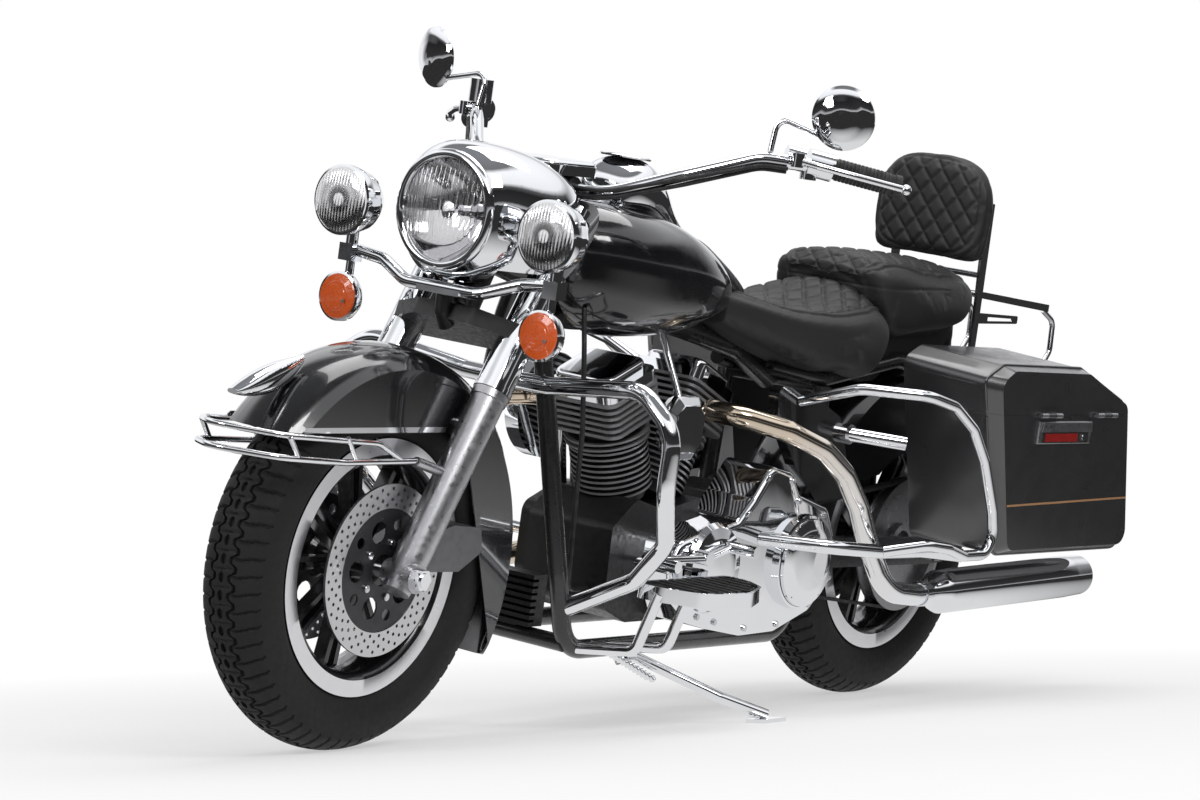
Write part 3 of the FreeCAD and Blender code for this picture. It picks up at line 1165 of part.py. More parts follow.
# Rear lamps and the bracket of the licence plate.
housing_tail = side_plate(((-240, 545), (-262, 612), (-322, 602), (-332, 545)), -50, 50, 10)
lamp_bar_rear = bar(V(-318, -150, 560), V(-318, 150, 560), 8)
rear_signals = [turned("rear_signal", lamp_section(34, cell("signal_radius") - 1),
                       at=V(-350, s * 150, 560), axis=(-1, 0, 0)) for s in (-1, 1)]
plate_bore = 3.3
plate_holes = [bar(V(-380, s * 73, 500), V(-350, s * 73, 500), plate_bore) for s in (-1, 1)]
plate_stays = [bar(V(-364, s * 30, z), V(-320, s * 30, z), 7) for s in (-1, 1) for z in (430, 490)]
plate_stays.append(bar(V(-364, 0, 508), V(-322, 0, 556), 6))
plate = fused([Part.makeBox(6, 176, 120, V(-368, -88, 395))] + plate_stays)
keep(less("tail_lamp", joined("tail_blank", [housing_tail, lamp_bar_rear, plate.cut(plate_holes)]
                              + rear_signals), [rear_round]), "tail_lamp")
belt_y = size("hub_half_width") + 3.4


def belt_loop(grow):
    """The side outline of the belt's run, filled, grown by its thickness."""
    front_r, rear_r, front_x = sprocket_r + grow, size("pulley_radius") + 0.4 + grow, along(sprocket_x)
    slope = math.asin((rear_r - front_r) / front_x)
    c, s = math.cos(slope), math.sin(slope)
    top_r, top_f = V(rear_r * s, 0, rear_r * c), V(front_x + front_r * s, 0, front_r * c)
    low_r, low_f = V(rear_r * s, 0, -rear_r * c), V(front_x + front_r * s, 0, -front_r * c)
    edges = [Part.LineSegment(top_r, top_f).toShape(),
             Part.Arc(top_f, V(front_x + front_r, 0, 0), low_f).toShape(),
             Part.LineSegment(low_f, low_r).toShape(),
             Part.Arc(low_r, V(-rear_r, 0, 0), top_r).toShape()]
    wire = Part.Wire(edges)
    wire.translate(V(0, belt_y, axle_z))
    return Part.Face(wire).extrude(V(0, size("belt_width"), 0))


keep(as_object(belt_loop(6).cut(belt_loop(0)), "drive_belt"), "drive_belt")
keep(as_object(rod(spots([(1156, 78, 768), (1186, 112, 700), (1178, 126, 560), (1160, 118, 450),
                          (1120, 96, 320), (1060, 56, 262), (1001.8, 56, 262)]), 4.5, 50),
               "clutch_cable"), "clutch_cable")

# Side stand. The tyres' own ground is where the crowns touch it under the lean.
crown_drop = size("tyre_radius") - size("crown_radius")
lift = (crown_drop - axle_z) * math.cos(lean) + size("crown_radius")
up_world = V(0, -math.sin(lean), math.cos(lean))
foot_at = (V(along(size("foot_x")), size("foot_y") * math.cos(lean), size("foot_y") * math.sin(lean))
           - up_world * lift)
foot_dir = V(-0.8, 0.6, 0)
stand_leg = rod([stand_pivot, foot_at + V(62, -52, 0) + up_world * 36, foot_at + up_world * 13
                 + foot_dir * 4], 10, 40)
foot_plate = Part.makeBox(66, 42, 7, V(-33, -18, 0))
foot_plate.Placement = Place(foot_at, Rot(V(1, 0, 0), math.degrees(lean)))
bolts = [bar(foot_at + foot_dir * d + up_world * 6, foot_at + foot_dir * d + up_world * 11, 5)
         for d in (-15, -26)]
keep(less("side_stand", joined("stand_blank", [
    stand_leg, bar(stand_pivot - STAND_AXIS * hub_half, stand_pivot + STAND_AXIS * hub_half, 14),
    foot_plate] + bolts),
    [bar(stand_pivot - STAND_AXIS * 30, stand_pivot + STAND_AXIS * 30, 6 + run)]), "side_stand")

# The whole machine leans on its stand, and its box is centred on the origin.
leaned = Place(V(0, 0, lift), Rot(V(1, 0, 0), -math.degrees(lean)))
doc.recompute()
box = FreeCAD.BoundBox()
for obj, local in pieces:
    obj.Placement = leaned.multiply(local).multiply(obj.Placement)
doc.recompute()
for obj, local in pieces:
    if obj.Shape.isNull() or not obj.Shape.Solids:
        raise RuntimeError(f"{obj.Label} has no solid")
    box.add(obj.Shape.optimalBoundingBox(False))
shift = V(-box.Center.x, -box.Center.y, 0)
for obj, local in pieces:
    obj.Placement = Place(shift, Rot()).multiply(obj.Placement)
doc.recompute()
print("box", box.XLength, box.YLength, box.ZMin, box.ZMax, "shift", shift)

for obj in doc.Objects:
    if "Invalid" in obj.State or "Error" in obj.State:
        raise RuntimeError(f"{obj.Label} failed: {obj.State}")
os.makedirs("parts", exist_ok=True)
for obj, local in pieces:
    if obj.Shape.isNull() or not obj.Shape.isValid() or not obj.Shape.Solids:
        raise RuntimeError(f"{obj.Label} is not a valid solid")
for obj, local in pieces:
    obj.Shape.exportStep(f"parts/{obj.Label}.step")
    print(obj.Label, len(obj.Shape.Solids), round(obj.Shape.Volume / 1000), "cm3")
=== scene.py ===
import bpy
import bmesh
import json
import math
import numpy as np
from mathutils import Matrix, Vector
from mathutils.geometry import delaunay_2d_cdt


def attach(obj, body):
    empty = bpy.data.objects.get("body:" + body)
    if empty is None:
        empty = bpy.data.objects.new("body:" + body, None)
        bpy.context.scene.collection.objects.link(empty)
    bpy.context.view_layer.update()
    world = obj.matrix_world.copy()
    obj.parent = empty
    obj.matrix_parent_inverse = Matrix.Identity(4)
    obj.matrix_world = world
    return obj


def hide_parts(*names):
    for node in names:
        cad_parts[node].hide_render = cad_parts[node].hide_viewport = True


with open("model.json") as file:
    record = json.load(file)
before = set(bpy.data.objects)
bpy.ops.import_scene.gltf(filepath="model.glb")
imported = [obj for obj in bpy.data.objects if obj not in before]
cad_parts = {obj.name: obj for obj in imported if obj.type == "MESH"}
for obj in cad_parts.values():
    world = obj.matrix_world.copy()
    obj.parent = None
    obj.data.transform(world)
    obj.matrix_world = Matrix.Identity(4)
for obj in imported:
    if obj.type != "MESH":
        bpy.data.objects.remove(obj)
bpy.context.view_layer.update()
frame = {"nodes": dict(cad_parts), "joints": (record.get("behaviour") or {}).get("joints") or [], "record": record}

# Stage: the motorcycle stands on its side stand in a white studio, seen from its left front at
# knee height. Machine coordinates are millimetres with X forward from the rear axle, Y left and
# Z up, before the machine leans on its stand.
LEAN = math.radians(11.4)
AXLE_Z = 319.65
rear_hub = Vector(next(j for j in frame["joints"] if j["name"] == "rear_wheel_spin")["pos_m"])
to_row = (Matrix.Translation(rear_hub) @ Matrix.Rotation(-LEAN, 4, "X")
          @ Matrix.Scale(0.001, 4) @ Matrix.Translation((0, 0, -AXLE_Z)))

# The camera was fitted to the photograph: its angles in degrees, its distance and its aim in
# metres, and its focal length in pixels of an image of that width.
CAMERA_AZ, CAMERA_EL, CAMERA_ROLL = (math.radians(a) for a in (125.958252, -1.07893344, -1.40290551))
CAMERA_DISTANCE, CAMERA_AIM, FOCAL_PIXELS = 7.16977448, (0.800434, -0.000598, 0.586128), 3882.76343
IMAGE_WIDTH, SENSOR = 1200, 36.0
sheet_shift = rear_hub - Matrix.Rotation(-LEAN, 4, "X") @ Vector((0, 0, AXLE_Z / 1000))
aim = Vector(CAMERA_AIM) + Vector((sheet_shift.x, sheet_shift.y, 0))
back = Vector((math.sin(CAMERA_AZ) * math.cos(CAMERA_EL), -math.cos(CAMERA_AZ) * math.cos(CAMERA_EL),
               math.sin(CAMERA_EL)))
right = (-back).cross(Vector((0, 0, 1))).normalized()
upward = right.cross(-back)
turned_right = right * math.cos(CAMERA_ROLL) + upward * math.sin(CAMERA_ROLL)
turned_up = upward * math.cos(CAMERA_ROLL) - right * math.sin(CAMERA_ROLL)
lens_data = bpy.data.cameras.new("camera")
lens_data.sensor_width, lens_data.lens = SENSOR, FOCAL_PIXELS / IMAGE_WIDTH * SENSOR
lens_data.clip_end = 60
camera = bpy.data.objects.new("camera", lens_data)
bpy.context.scene.collection.objects.link(camera)
turn = Matrix((turned_right, turned_up, back)).transposed().to_4x4()
camera.matrix_world = Matrix.Translation(aim + back * CAMERA_DISTANCE) @ turn
bpy.context.scene.camera = camera
bpy.context.scene.view_settings.view_transform = "Standard"

# Studio floor: white paper that shades softly under the machine and shines by itself far off, so
# that it meets the white wall unseen. In the chrome it darkens towards the far side of the room.
FLOOR = 40


class Nodes:
    """Short ways to add nodes to a tree and to link them."""

    def __init__(self, tree):
        self.tree = tree

    def add(self, kind, sources=None, **settings):
        known = kind.startswith(("GeometryNode", "FunctionNode"))
        node = self.tree.nodes.new(kind if known else "ShaderNode" + kind)
        for key, value in settings.items():
            setattr(node, key, value)
        for key, value in (sources or {}).items():
            socket = node.inputs[key]
            if isinstance(value, bpy.types.NodeSocket):
                self.tree.links.new(value, socket)
            else:
                socket.default_value = value
        return node

    def math(self, operation, a, b=0.0, c=0.0):
        return self.add("Math", {0: a, 1: b, 2: c}, operation=operation).outputs[0]

    def mixed(self, factor, a, b):
        return self.add("Mix", {0: factor, 6: a, 7: b}, data_type="RGBA").outputs[2]

    def sides(self, vector):
        return self.add("SeparateXYZ", {0: vector}).outputs

    def reach(self, a, b):
        """The distance from an axis, from the two sides that lie square to it."""
        return self.math("SQRT", self.math("ADD", self.math("MULTIPLY", a, a), self.math("MULTIPLY", b, b)))

    def noise(self, vector, scale, detail=4.0):
        return self.add("TexNoise", {"Vector": vector, "Scale": scale, "Detail": detail}).outputs[0]

    def ranged(self, value, low, high, from_low=0.0, from_high=1.0):
        return self.add("MapRange", {0: value, 1: from_low, 2: from_high, 3: low, 4: high}).outputs[0]

    def bump(self, height, distance, strength=1.0, below=None):
        under = {} if below is None else {"Normal": below}
        return self.add("Bump", {"Height": height, "Distance": distance, "Strength": strength,
                                 **under}).outputs[0]


class Shade(Nodes):
    """A node material being built round its main shader."""

    def __init__(self, name):
        self.material = bpy.data.materials.new(name)
        self.material.use_nodes = True
        super().__init__(self.material.node_tree)
        self.shader = self.tree.nodes["Principled BSDF"]

    def link(self, source, socket):
        self.tree.links.new(source, self.shader.inputs[socket])

    def set(self, **values):
        for key, value in values.items():
            self.shader.inputs[key.replace("_", " ")].default_value = value

    def place(self):
        """Object coordinates turned back to the upright machine, in metres from the rear hub."""
        coords = self.add("TexCoord").outputs["Object"]
        turned = Matrix.Rotation(LEAN, 3, "X") @ rear_hub
        return self.add("Mapping", {"Vector": coords, "Rotation": (LEAN, 0, 0),
                                    "Location": tuple(-turned)}).outputs[0]


floor_mesh = bpy.data.meshes.new("studio_floor")
floor_mesh.from_pydata([(-FLOOR, -FLOOR, 0), (FLOOR, -FLOOR, 0), (FLOOR, FLOOR, 0), (-FLOOR, FLOOR, 0)],
                       [], [(0, 1, 2, 3)])
floor = bpy.data.objects.new("studio_floor", floor_mesh)
bpy.context.scene.collection.objects.link(floor)
paper = Shade("white_paper")
paper.set(Base_Color=(0.9, 0.9, 0.9, 1), Roughness=0.9, Specular_IOR_Level=0.1)
bare = paper.add("Emission", {"Color": (1, 1, 1, 1), "Strength": 1.0})
rays = paper.add("LightPath")
spot = paper.add("NewGeometry").outputs["Position"]
apart = paper.add("VectorMath", {0: spot, 1: (0.1, 0.0, 0.0)}, operation="DISTANCE").outputs["Value"]
far = paper.ranged(apart, 0.5, 1.0, 0.9, 2.6)
unseen = paper.math("MAXIMUM", far, rays.outputs["Is Transmission Ray"])
straight = paper.math("SUBTRACT", 1.0, rays.outputs["Is Diffuse Ray"])
open_paper = paper.math("MULTIPLY", unseen, straight)
both = paper.add("MixShader", {0: open_paper, 1: paper.shader.outputs[0], 2: bare.outputs[0]})
mirrored_paper = paper.add("Emission", {"Color": (1, 1, 1, 1),
                                        "Strength": paper.ranged(apart, 0.8, 0.03, 1.0, 2.3)})
last = paper.add("MixShader", {0: rays.outputs["Is Glossy Ray"], 1: both.outputs[0],
                               2: mirrored_paper.outputs[0]})
paper.tree.links.new(last.outputs[0], paper.tree.nodes["Material Output"].inputs[0])
floor_mesh.materials.append(paper.material)

# Studio walls: a dark band at eye height between a pale floor and a bright band of lamps above,
# which the chrome shows. The camera sees plain white, and even light fills the shadows.
world = bpy.data.worlds.new("studio")
bpy.context.scene.world = world
world.use_nodes = True
world.node_tree.nodes.clear()
sky = Nodes(world.node_tree)
path = sky.add("LightPath").outputs
facing = sky.add("TexCoord").outputs["Generated"]
height = sky.sides(facing)["Z"]
walls = sky.add("ValToRGB", {0: sky.math("MULTIPLY_ADD", height, 0.5, 0.5)})
ramp = walls.color_ramp
ramp.elements[0].position, ramp.elements[0].color = 0.46, (0.6, 0.6, 0.6, 1)
ramp.elements[1].position, ramp.elements[1].color = 1.0, (0.25, 0.26, 0.28, 1)
for stop, grey in ((0.505, 0.42), (0.53, 0.035), (0.66, 0.02), (0.70, 0.10), (0.74, 1.0), (0.86, 1.15),
                   (0.90, 0.2)):
    ramp.elements.new(stop).color = (grey, grey * 1.01, grey * 1.03, 1)
behind = sky.add("VectorMath", {0: facing, 1: (-back.x, -back.y, 0.0)}, operation="DOT_PRODUCT")
lit_wall = sky.math("MULTIPLY", sky.ranged(behind.outputs["Value"], 0.0, 1.0, 0.45, 0.75),
                    sky.ranged(height, 0.0, 1.0, 0.55, 0.3))
shades = sky.add("MixRGB", {0: lit_wall, 1: walls.outputs[0], 2: (0.95, 0.96, 0.98, 1)})
even, white, studio = (sky.add("Background", {0: tone, 1: strength}).outputs[0] for tone, strength in
                       (((1, 1, 1, 1), 0.36), ((1, 1, 1, 1), 1.0), (shades.outputs[0], 1.0)))
plain = sky.math("MAXIMUM", path["Is Camera Ray"], path["Is Transmission Ray"])
first = sky.add("MixShader", {0: path["Is Glossy Ray"], 1: even, 2: studio})
second = sky.add("MixShader", {0: plain, 1: first.outputs[0], 2: white})
sky.add("OutputWorld", {0: second.outputs[0]})

for name, place, size, power in (("key", (2.2, 3.6, 3.4), 1.6, 80),
                                 ("front", (4.4, -1.2, 2.4), 1.2, 40),
                                 ("over", (-0.8, 0.2, 3.8), 2.4, 60)):
    lamp_data = bpy.data.lights.new(name, "AREA")
    lamp_data.energy, lamp_data.size = power, size
    lamp = bpy.data.objects.new(name, lamp_data)
    bpy.context.scene.collection.objects.link(lamp)
    lamp.location = place
    lamp.rotation_euler = (Vector(place) - Vector((0, 0, 0.5))).to_track_quat("Z", "Y").to_euler()

# Frame and swingarm: steel tubes and forgings, welded into a double cradle and powder coated in
# gloss black.
nodes = frame["nodes"]
body_of = {node: body for body, members in frame["record"]["behaviour"]["bodies"].items()
           for node in members}


def finish(name, colour, rough, metal=0.0, grain=60.0, bump=0.00002, fine=900.0, coat=0.0,
           coat_rough=0.03):
    """A painted, plated or rubber finish: slow colour change, handling marks and a fine surface."""
    s = Shade(name)
    where = s.place()
    slow = s.noise(where, grain * 0.1)
    marks = s.noise(where, grain, 6.0)
    s.link(s.mixed(slow, (*colour, 1), (*(c * 0.75 for c in colour), 1)), "Base Color")
    s.link(s.ranged(marks, max(rough * 0.72, 0.01), min(rough * 1.32, 1.0), 0.3, 0.7), "Roughness")
    s.link(s.bump(s.noise(where, fine, 3.0), bump), "Normal")
    s.set(Metallic=metal, Coat_Weight=coat, Coat_Roughness=coat_rough)
    return s.material


powder_black = finish("powder_black", (0.012, 0.012, 0.013), 0.3, coat=0.5, coat_rough=0.08,
                      bump=0.00006, fine=420)


def piece(name, mesh, body, materials=(), replaces=()):
    """A finished mesh, or the drawing of one, becomes a piece of the motorcycle."""
    if isinstance(mesh, bmesh.types.BMesh):
        drawing, mesh = mesh, bpy.data.meshes.new(name)
        drawing.to_mesh(mesh)
        drawing.free()
    obj = bpy.data.objects.new(name, mesh)
    bpy.context.scene.collection.objects.link(obj)
    for material in materials:
        mesh.materials.append(material)
    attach(obj, body)
    if replaces:
        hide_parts(*replaces)
    return obj


def smoothed(bm, angle):
    """Rounded faces are shaded smooth, and edges sharper than the angle stay crisp."""
    limit = math.radians(angle)
    for face in bm.faces:
        face.smooth = True
    for edge in bm.edges:
        edge.smooth = not (len(edge.link_faces) == 2 and edge.calc_face_angle(0) > limit)


def skinned(node, material, angle=32):
    """A smooth-shaded copy of a CAD node, which stands for it."""
    mesh = nodes[node].data.copy()
    mesh.materials.clear()
    bm = bmesh.new()
    bm.from_mesh(mesh)
    for layer in list(bm.loops.layers.uv.values()):
        bm.loops.layers.uv.remove(layer)
    bmesh.ops.remove_doubles(bm, verts=bm.verts, dist=2e-6)
    smoothed(bm, angle)
    bm.to_mesh(mesh)
    bm.free()
    if mesh.attributes.get("custom_normal"):
        mesh.attributes.remove(mesh.attributes["custom_normal"])
    return piece(f"{node}_skin", mesh, body_of[node], [material], [node])


for part in ("frame", "swingarm"):
    skinned(part, powder_black)

# Tyres: black rubber with a stepped block tread, moulded in one piece with smooth sidewalls. The
# tread repeats in pitches, and each pitch has the same number of steps round the tyre.
TYRE_R, TREAD_HALF, CROWN, TREAD_DEPTH, PITCHES, STEPS = 318.0, 60.0, 82.0, 6.0, 66, 12
BEAD_R, BEAD_HALF, WALL_HALF = 221.0, 50.4, 67.6


def rubber():
    s = Shade("tyre_rubber")
    where = s.place()
    tone = s.mixed(s.noise(where, 14.0), (0.009, 0.009, 0.010, 1), (0.017, 0.017, 0.016, 1))
    s.link(tone, "Base Color")
    s.link(s.ranged(s.noise(where, 90.0, 5.0), 0.55, 0.85), "Roughness")
    s.link(s.bump(s.noise(where, 1400.0, 2.0), 0.00004), "Normal")
    s.set(Specular_IOR_Level=0.3)
    return s.material


tyre_rubber = rubber()


def tread_tyre(name, node, centre_x):
    """A tyre from its section, drawn ring by ring round the wheel: each column of the tread has its
    place, its share of the zigzag, its share of the groove depth and its kind of cross slot."""
    zigzag, slot_rows = 5.0, (0, 1)
    columns = [(-60, 0, 0, 1), (-57, 0, 0, 1), (-50, 0, 0, 1), (-42, 0, 0, 1), (-34, 0.3, 0, 1),
               (-28, 0.7, 0, 1), (-23.5, 1, 0, 0), (-22.5, 1, 1, 0), (-17.5, 1, 1, 0), (-16.5, 1, 0, 0),
               (-12, 0.5, 0, 2), (-7, 0, 0, 2), (-2.6, -0.6, 0, 2), (-2.0, -0.6, 1, 0)]
    columns += [(-c, -w, g, k) for c, w, g, k in reversed(columns)]
    count = PITCHES * STEPS
    rows = np.arange(count)
    wave = np.clip(np.abs((rows % STEPS) - (STEPS - 1) / 2) - STEPS / 4, -1, 1) * zigzag
    angle = rows * 2 * math.pi / count
    rings = []
    for c, w, floor_part, kind in columns:
        y = c + w * wave
        r = TYRE_R - CROWN + np.sqrt(CROWN ** 2 - y ** 2)
        depth = np.full(count, TREAD_DEPTH * floor_part)
        slant = int(abs(c) / TREAD_HALF * 5) * (1 if c > 0 else -1)
        slot = np.isin((rows + slant) % STEPS, slot_rows)
        if kind == 1:
            depth = np.where(slot, TREAD_DEPTH * 0.8, depth)
        if kind == 2:
            depth = np.where((rows + slant + STEPS // 2) % STEPS == 0, TREAD_DEPTH * 0.5, depth)
        rings.append((r - depth - 0.15, y))
    shoulder = TYRE_R - CROWN + math.sqrt(CROWN ** 2 - TREAD_HALF ** 2)
    side = []
    for t in np.linspace(0.06, 1, 13):
        mid_r, half = (BEAD_R + shoulder) / 2, (shoulder - BEAD_R) / 2
        r = shoulder - (shoulder - BEAD_R) * t
        end_half = TREAD_HALF if r > mid_r else BEAD_HALF
        bulge = WALL_HALF - 0.2 - ((r - mid_r) / half) ** 2 * (WALL_HALF - end_half)
        if 0.24 < t < 0.36:
            bulge += 0.3
        side.append((np.full(count, r), np.full(count, bulge)))
    side.append((np.full(count, 219.4), np.full(count, 46.0)))
    rings = [(r, -y) for r, y in reversed(side)] + rings + side
    vertices = []
    for r, y in rings:
        vertices.append(np.stack([r * np.sin(angle) + centre_x, y, r * np.cos(angle) + AXLE_Z], 1))
    flat = np.concatenate(vertices)
    matrix = np.array(to_row)
    flat = flat @ matrix[:3, :3].T + matrix[:3, 3]
    faces, onward = [], (rows + 1) % count
    for j in range(len(rings)):
        here, there = j * count, (j + 1) % len(rings) * count
        faces.append(np.stack([here + rows, here + onward, there + onward, there + rows], 1))
    mesh = bpy.data.meshes.new(name)
    mesh.from_pydata(flat.tolist(), [], np.concatenate(faces).tolist())
    bm = bmesh.new()
    bm.from_mesh(mesh)
    bpy.data.meshes.remove(mesh)
    bmesh.ops.recalc_face_normals(bm, faces=bm.faces)
    smoothed(bm, 34)
    return piece(name, bm, body_of[node], [tyre_rubber], [node])


FRONT_X = 1612.0
tread_tyre("front_tread_tyre", "front_tyre", FRONT_X)
tread_tyre("rear_tread_tyre", "rear_tyre", 0.0)

# Wheels: cast aluminium painted gloss black, with the flat rim lip on both sides machined bright
# after the paint.
LIP_IN, LIP_OUT, LIP_HALF = 0.1905, 0.2185, 0.0495


def wheel_finish(name, centre_x):
    s = Shade(name)
    where = s.place()
    parts = s.sides(where)
    radius = s.reach(s.math("SUBTRACT", parts["X"], centre_x / 1000), parts["Z"])
    ring = s.math("MULTIPLY", s.math("GREATER_THAN", radius, LIP_IN), s.math("LESS_THAN", radius, LIP_OUT))
    side = s.math("GREATER_THAN", s.math("ABSOLUTE", parts["Y"]), LIP_HALF)
    lip = s.math("MULTIPLY", ring, side)
    turned = s.add("TexWave", {"Vector": s.add("CombineXYZ", {0: radius}).outputs[0], "Scale": 900.0,
                               "Distortion": 0.4}, wave_type="BANDS").outputs["Fac"]
    s.link(s.mixed(lip, (0.010, 0.010, 0.011, 1), (0.78, 0.78, 0.80, 1)), "Base Color")
    s.link(lip, "Metallic")
    rough = s.ranged(s.noise(where, 70.0, 5.0), 0.12, 0.3)
    s.link(s.math("ADD", rough, s.math("MULTIPLY", lip, 0.1)), "Roughness")
    s.link(s.bump(s.math("MULTIPLY", turned, lip), 0.000012), "Normal")
    s.set(Coat_Weight=0.4, Coat_Roughness=0.06)
    return s.material


skinned("front_wheel_casting", wheel_finish("front_wheel_black", FRONT_X), 38)
skinned("rear_wheel_casting", wheel_finish("rear_wheel_black", 0.0), 38)

# Brake discs: ground stainless steel drilled in staggered rings, on a dark aluminium carrier
# that is bolted to the hub.
DISC_R, DISC_IN, CARRIER_IN, DISC_Y = 146.0, 104.0, 27.0, 69.7
HOLE_RINGS, HOLES_ROUND, HOLE_R = (111, 120, 129, 138), 30, 3.1


def ground_steel(name, centre_x):
    s = Shade(name)
    where = s.place()
    parts = s.sides(where)
    radius = s.reach(s.math("SUBTRACT", parts["X"], centre_x / 1000), parts["Z"])
    rings = s.noise(s.add("CombineXYZ", {0: radius}).outputs[0], 2600.0, 2.0)
    s.link(s.mixed(rings, (0.52, 0.52, 0.53, 1), (0.72, 0.72, 0.73, 1)), "Base Color")
    s.link(s.ranged(rings, 0.22, 0.42), "Roughness")
    s.link(s.bump(rings, 0.00002), "Normal")
    s.set(Metallic=1.0)
    return s.material


carrier_grey = finish("carrier_grey", (0.05, 0.05, 0.055), 0.35, metal=0.6, bump=0.00003)


def circle(radius, count, centre=(0.0, 0.0), phase=0.0):
    return [(centre[0] + radius * math.cos(2 * math.pi * k / count + phase),
             centre[1] + radius * math.sin(2 * math.pi * k / count + phase)) for k in range(count)]


def drilled_plate(outer, inner, holes, thick):
    """A flat ring with holes as vertices and faces: outer and inner radii and (x, z, radius)."""
    loops = [circle(outer, 120), circle(inner, 72)] + [circle(r, 12, (x, z)) for x, z, r in holes]
    points, edges = [], []
    for loop in loops:
        start = len(points)
        points += loop
        edges += [(start + k, start + (k + 1) % len(loop)) for k in range(len(loop))]
    found, _, faces, *_ = delaunay_2d_cdt([Vector(p) for p in points], edges, [], 1, 1e-4)
    kept = []
    for face in faces:
        middle = sum((found[i] for i in face), Vector((0, 0))) / len(face)
        if not inner < middle.length < outer:
            continue
        if all((middle - Vector((x, z))).length > r * 0.97 for x, z, r in holes):
            kept.append(face)
    bm = bmesh.new()
    made = [bm.verts.new((p.x, 0, p.y)) for p in found]
    for face in kept:
        bm.faces.new([made[i] for i in face])
    bmesh.ops.delete(bm, geom=[v for v in bm.verts if not v.link_faces], context="VERTS")
    solid = bmesh.ops.extrude_face_region(bm, geom=bm.faces[:])
    bmesh.ops.translate(bm, verts=[v for v in solid["geom"] if isinstance(v, bmesh.types.BMVert)],
                        vec=(0, thick, 0))
    bmesh.ops.recalc_face_normals(bm, faces=bm.faces)
    return bm


def placed(bm, centre_x, y, side):
    """Puts wheel geometry drawn about the Y axis at a hub, on the left (1) or the right (-1)."""
    move = Matrix.Translation((centre_x, y, AXLE_Z)) @ Matrix.Diagonal((1, side, 1, 1))
    bmesh.ops.transform(bm, matrix=to_row @ move, verts=bm.verts)
    if side < 0:
        bmesh.ops.reverse_faces(bm, faces=bm.faces)
    return bm


def disc_pair(name, node, centre_x):
    """Two drilled discs, each with its carrier: five large and five small windows."""
    steel = ground_steel(f"{name}_steel", centre_x)
    disc_holes = []
    for ring, radius in enumerate(HOLE_RINGS):
        for i in range(HOLES_ROUND):
            turn_by = 2 * math.pi * (i + 0.5 * (ring % 2)) / HOLES_ROUND
            disc_holes.append((radius * math.cos(turn_by), radius * math.sin(turn_by), HOLE_R))
    carrier_holes = []
    for i in range(5):
        for reach, radius, turn_by in ((67, 19.0, 0), (80, 10.0, 36)):
            angle = math.radians(72 * i + turn_by)
            carrier_holes.append((reach * math.cos(angle), reach * math.sin(angle), radius))
    whole = bmesh.new()
    plates = ((DISC_R, DISC_IN + 1, disc_holes, 4.9, 0, 0.05),
              (DISC_IN + 1, CARRIER_IN, carrier_holes, 3.4, 1, 0))
    for side in (1, -1):
        for outer, inner, holes, thick, index, lift in plates:
            bm = placed(drilled_plate(outer, inner, holes, thick), centre_x, side * (DISC_Y + lift), side)
            for face in bm.faces:
                face.material_index = index
            part = bpy.data.meshes.new("part")
            bm.to_mesh(part)
            bm.free()
            whole.from_mesh(part)
            bpy.data.meshes.remove(part)
    smoothed(whole, 30)
    return piece(name, whole, body_of[node], [steel, carrier_grey], [node])


disc_pair("front_disc_plates", "front_discs", FRONT_X)
pulley = nodes["rear_pulley_and_disc"].data
pulley.materials.clear()
pulley.materials.append(finish("pulley_grey", (0.42, 0.42, 0.43), 0.32, metal=0.9))

# Screws and bolts: turned and chromed heads, hexagonal or round, each with a smaller step on top.
# They sit on the pieces that they hold.


def screw_tree():
    """One screw head on every point: a sided or round head with a smaller step on top."""
    tree = bpy.data.node_groups.new("screw_heads", "GeometryNodeTree")
    for label, kind, value in (("Points", "Geometry", None), ("Way", "Vector", (0, 0, 1)),
                               ("Radius", "Float", 0.004), ("Height", "Float", 0.003),
                               ("Sides", "Int", 6), ("Metal", "Material", None)):
        socket = tree.interface.new_socket(label, in_out="INPUT", socket_type=f"NodeSocket{kind}")
        if value is not None:
            socket.default_value = value
    tree.interface.new_socket("Heads", in_out="OUTPUT", socket_type="NodeSocketGeometry")
    begin, end = tree.nodes.new("NodeGroupInput").outputs, tree.nodes.new("NodeGroupOutput").inputs
    heads = Nodes(tree)

    def drum(sides, wide, tall, lift):
        body = heads.add("GeometryNodeMeshCylinder", {
            "Vertices": sides, "Radius": heads.math("MULTIPLY", begin["Radius"], wide),
            "Depth": heads.math("MULTIPLY", begin["Height"], tall)})
        along = heads.add("CombineXYZ", {"Z": heads.math("MULTIPLY", begin["Height"], lift)})
        return heads.add("GeometryNodeTransform", {"Geometry": body.outputs["Mesh"],
                                                   "Translation": along.outputs[0]}).outputs[0]

    join = heads.add("GeometryNodeJoinGeometry", {0: drum(begin["Sides"], 1.0, 0.8, 0.4)})
    tree.links.new(drum(16, 0.8, 0.25, 0.9), join.inputs[0])
    points = heads.add("GeometryNodeMeshToPoints", {"Mesh": begin["Points"]})
    turn_to = heads.add("FunctionNodeAlignEulerToVector", {"Vector": begin["Way"]}, axis="Z")
    scatter = heads.add("GeometryNodeInstanceOnPoints", {
        "Points": points.outputs[0], "Instance": join.outputs[0], "Rotation": turn_to.outputs[0]})
    real = heads.add("GeometryNodeRealizeInstances", {0: scatter.outputs[0]})
    paint = heads.add("GeometryNodeSetMaterial", {"Geometry": real.outputs[0], "Material": begin["Metal"]})
    tree.links.new(paint.outputs[0], end[0])
    return tree


screw_heads = screw_tree()
SIDES = ((1, "left"), (-1, "right"))


def at(x, y, z):
    """A point of the upright machine in millimetres, in the leaning frame in metres."""
    return to_row @ Vector((x, y, z))


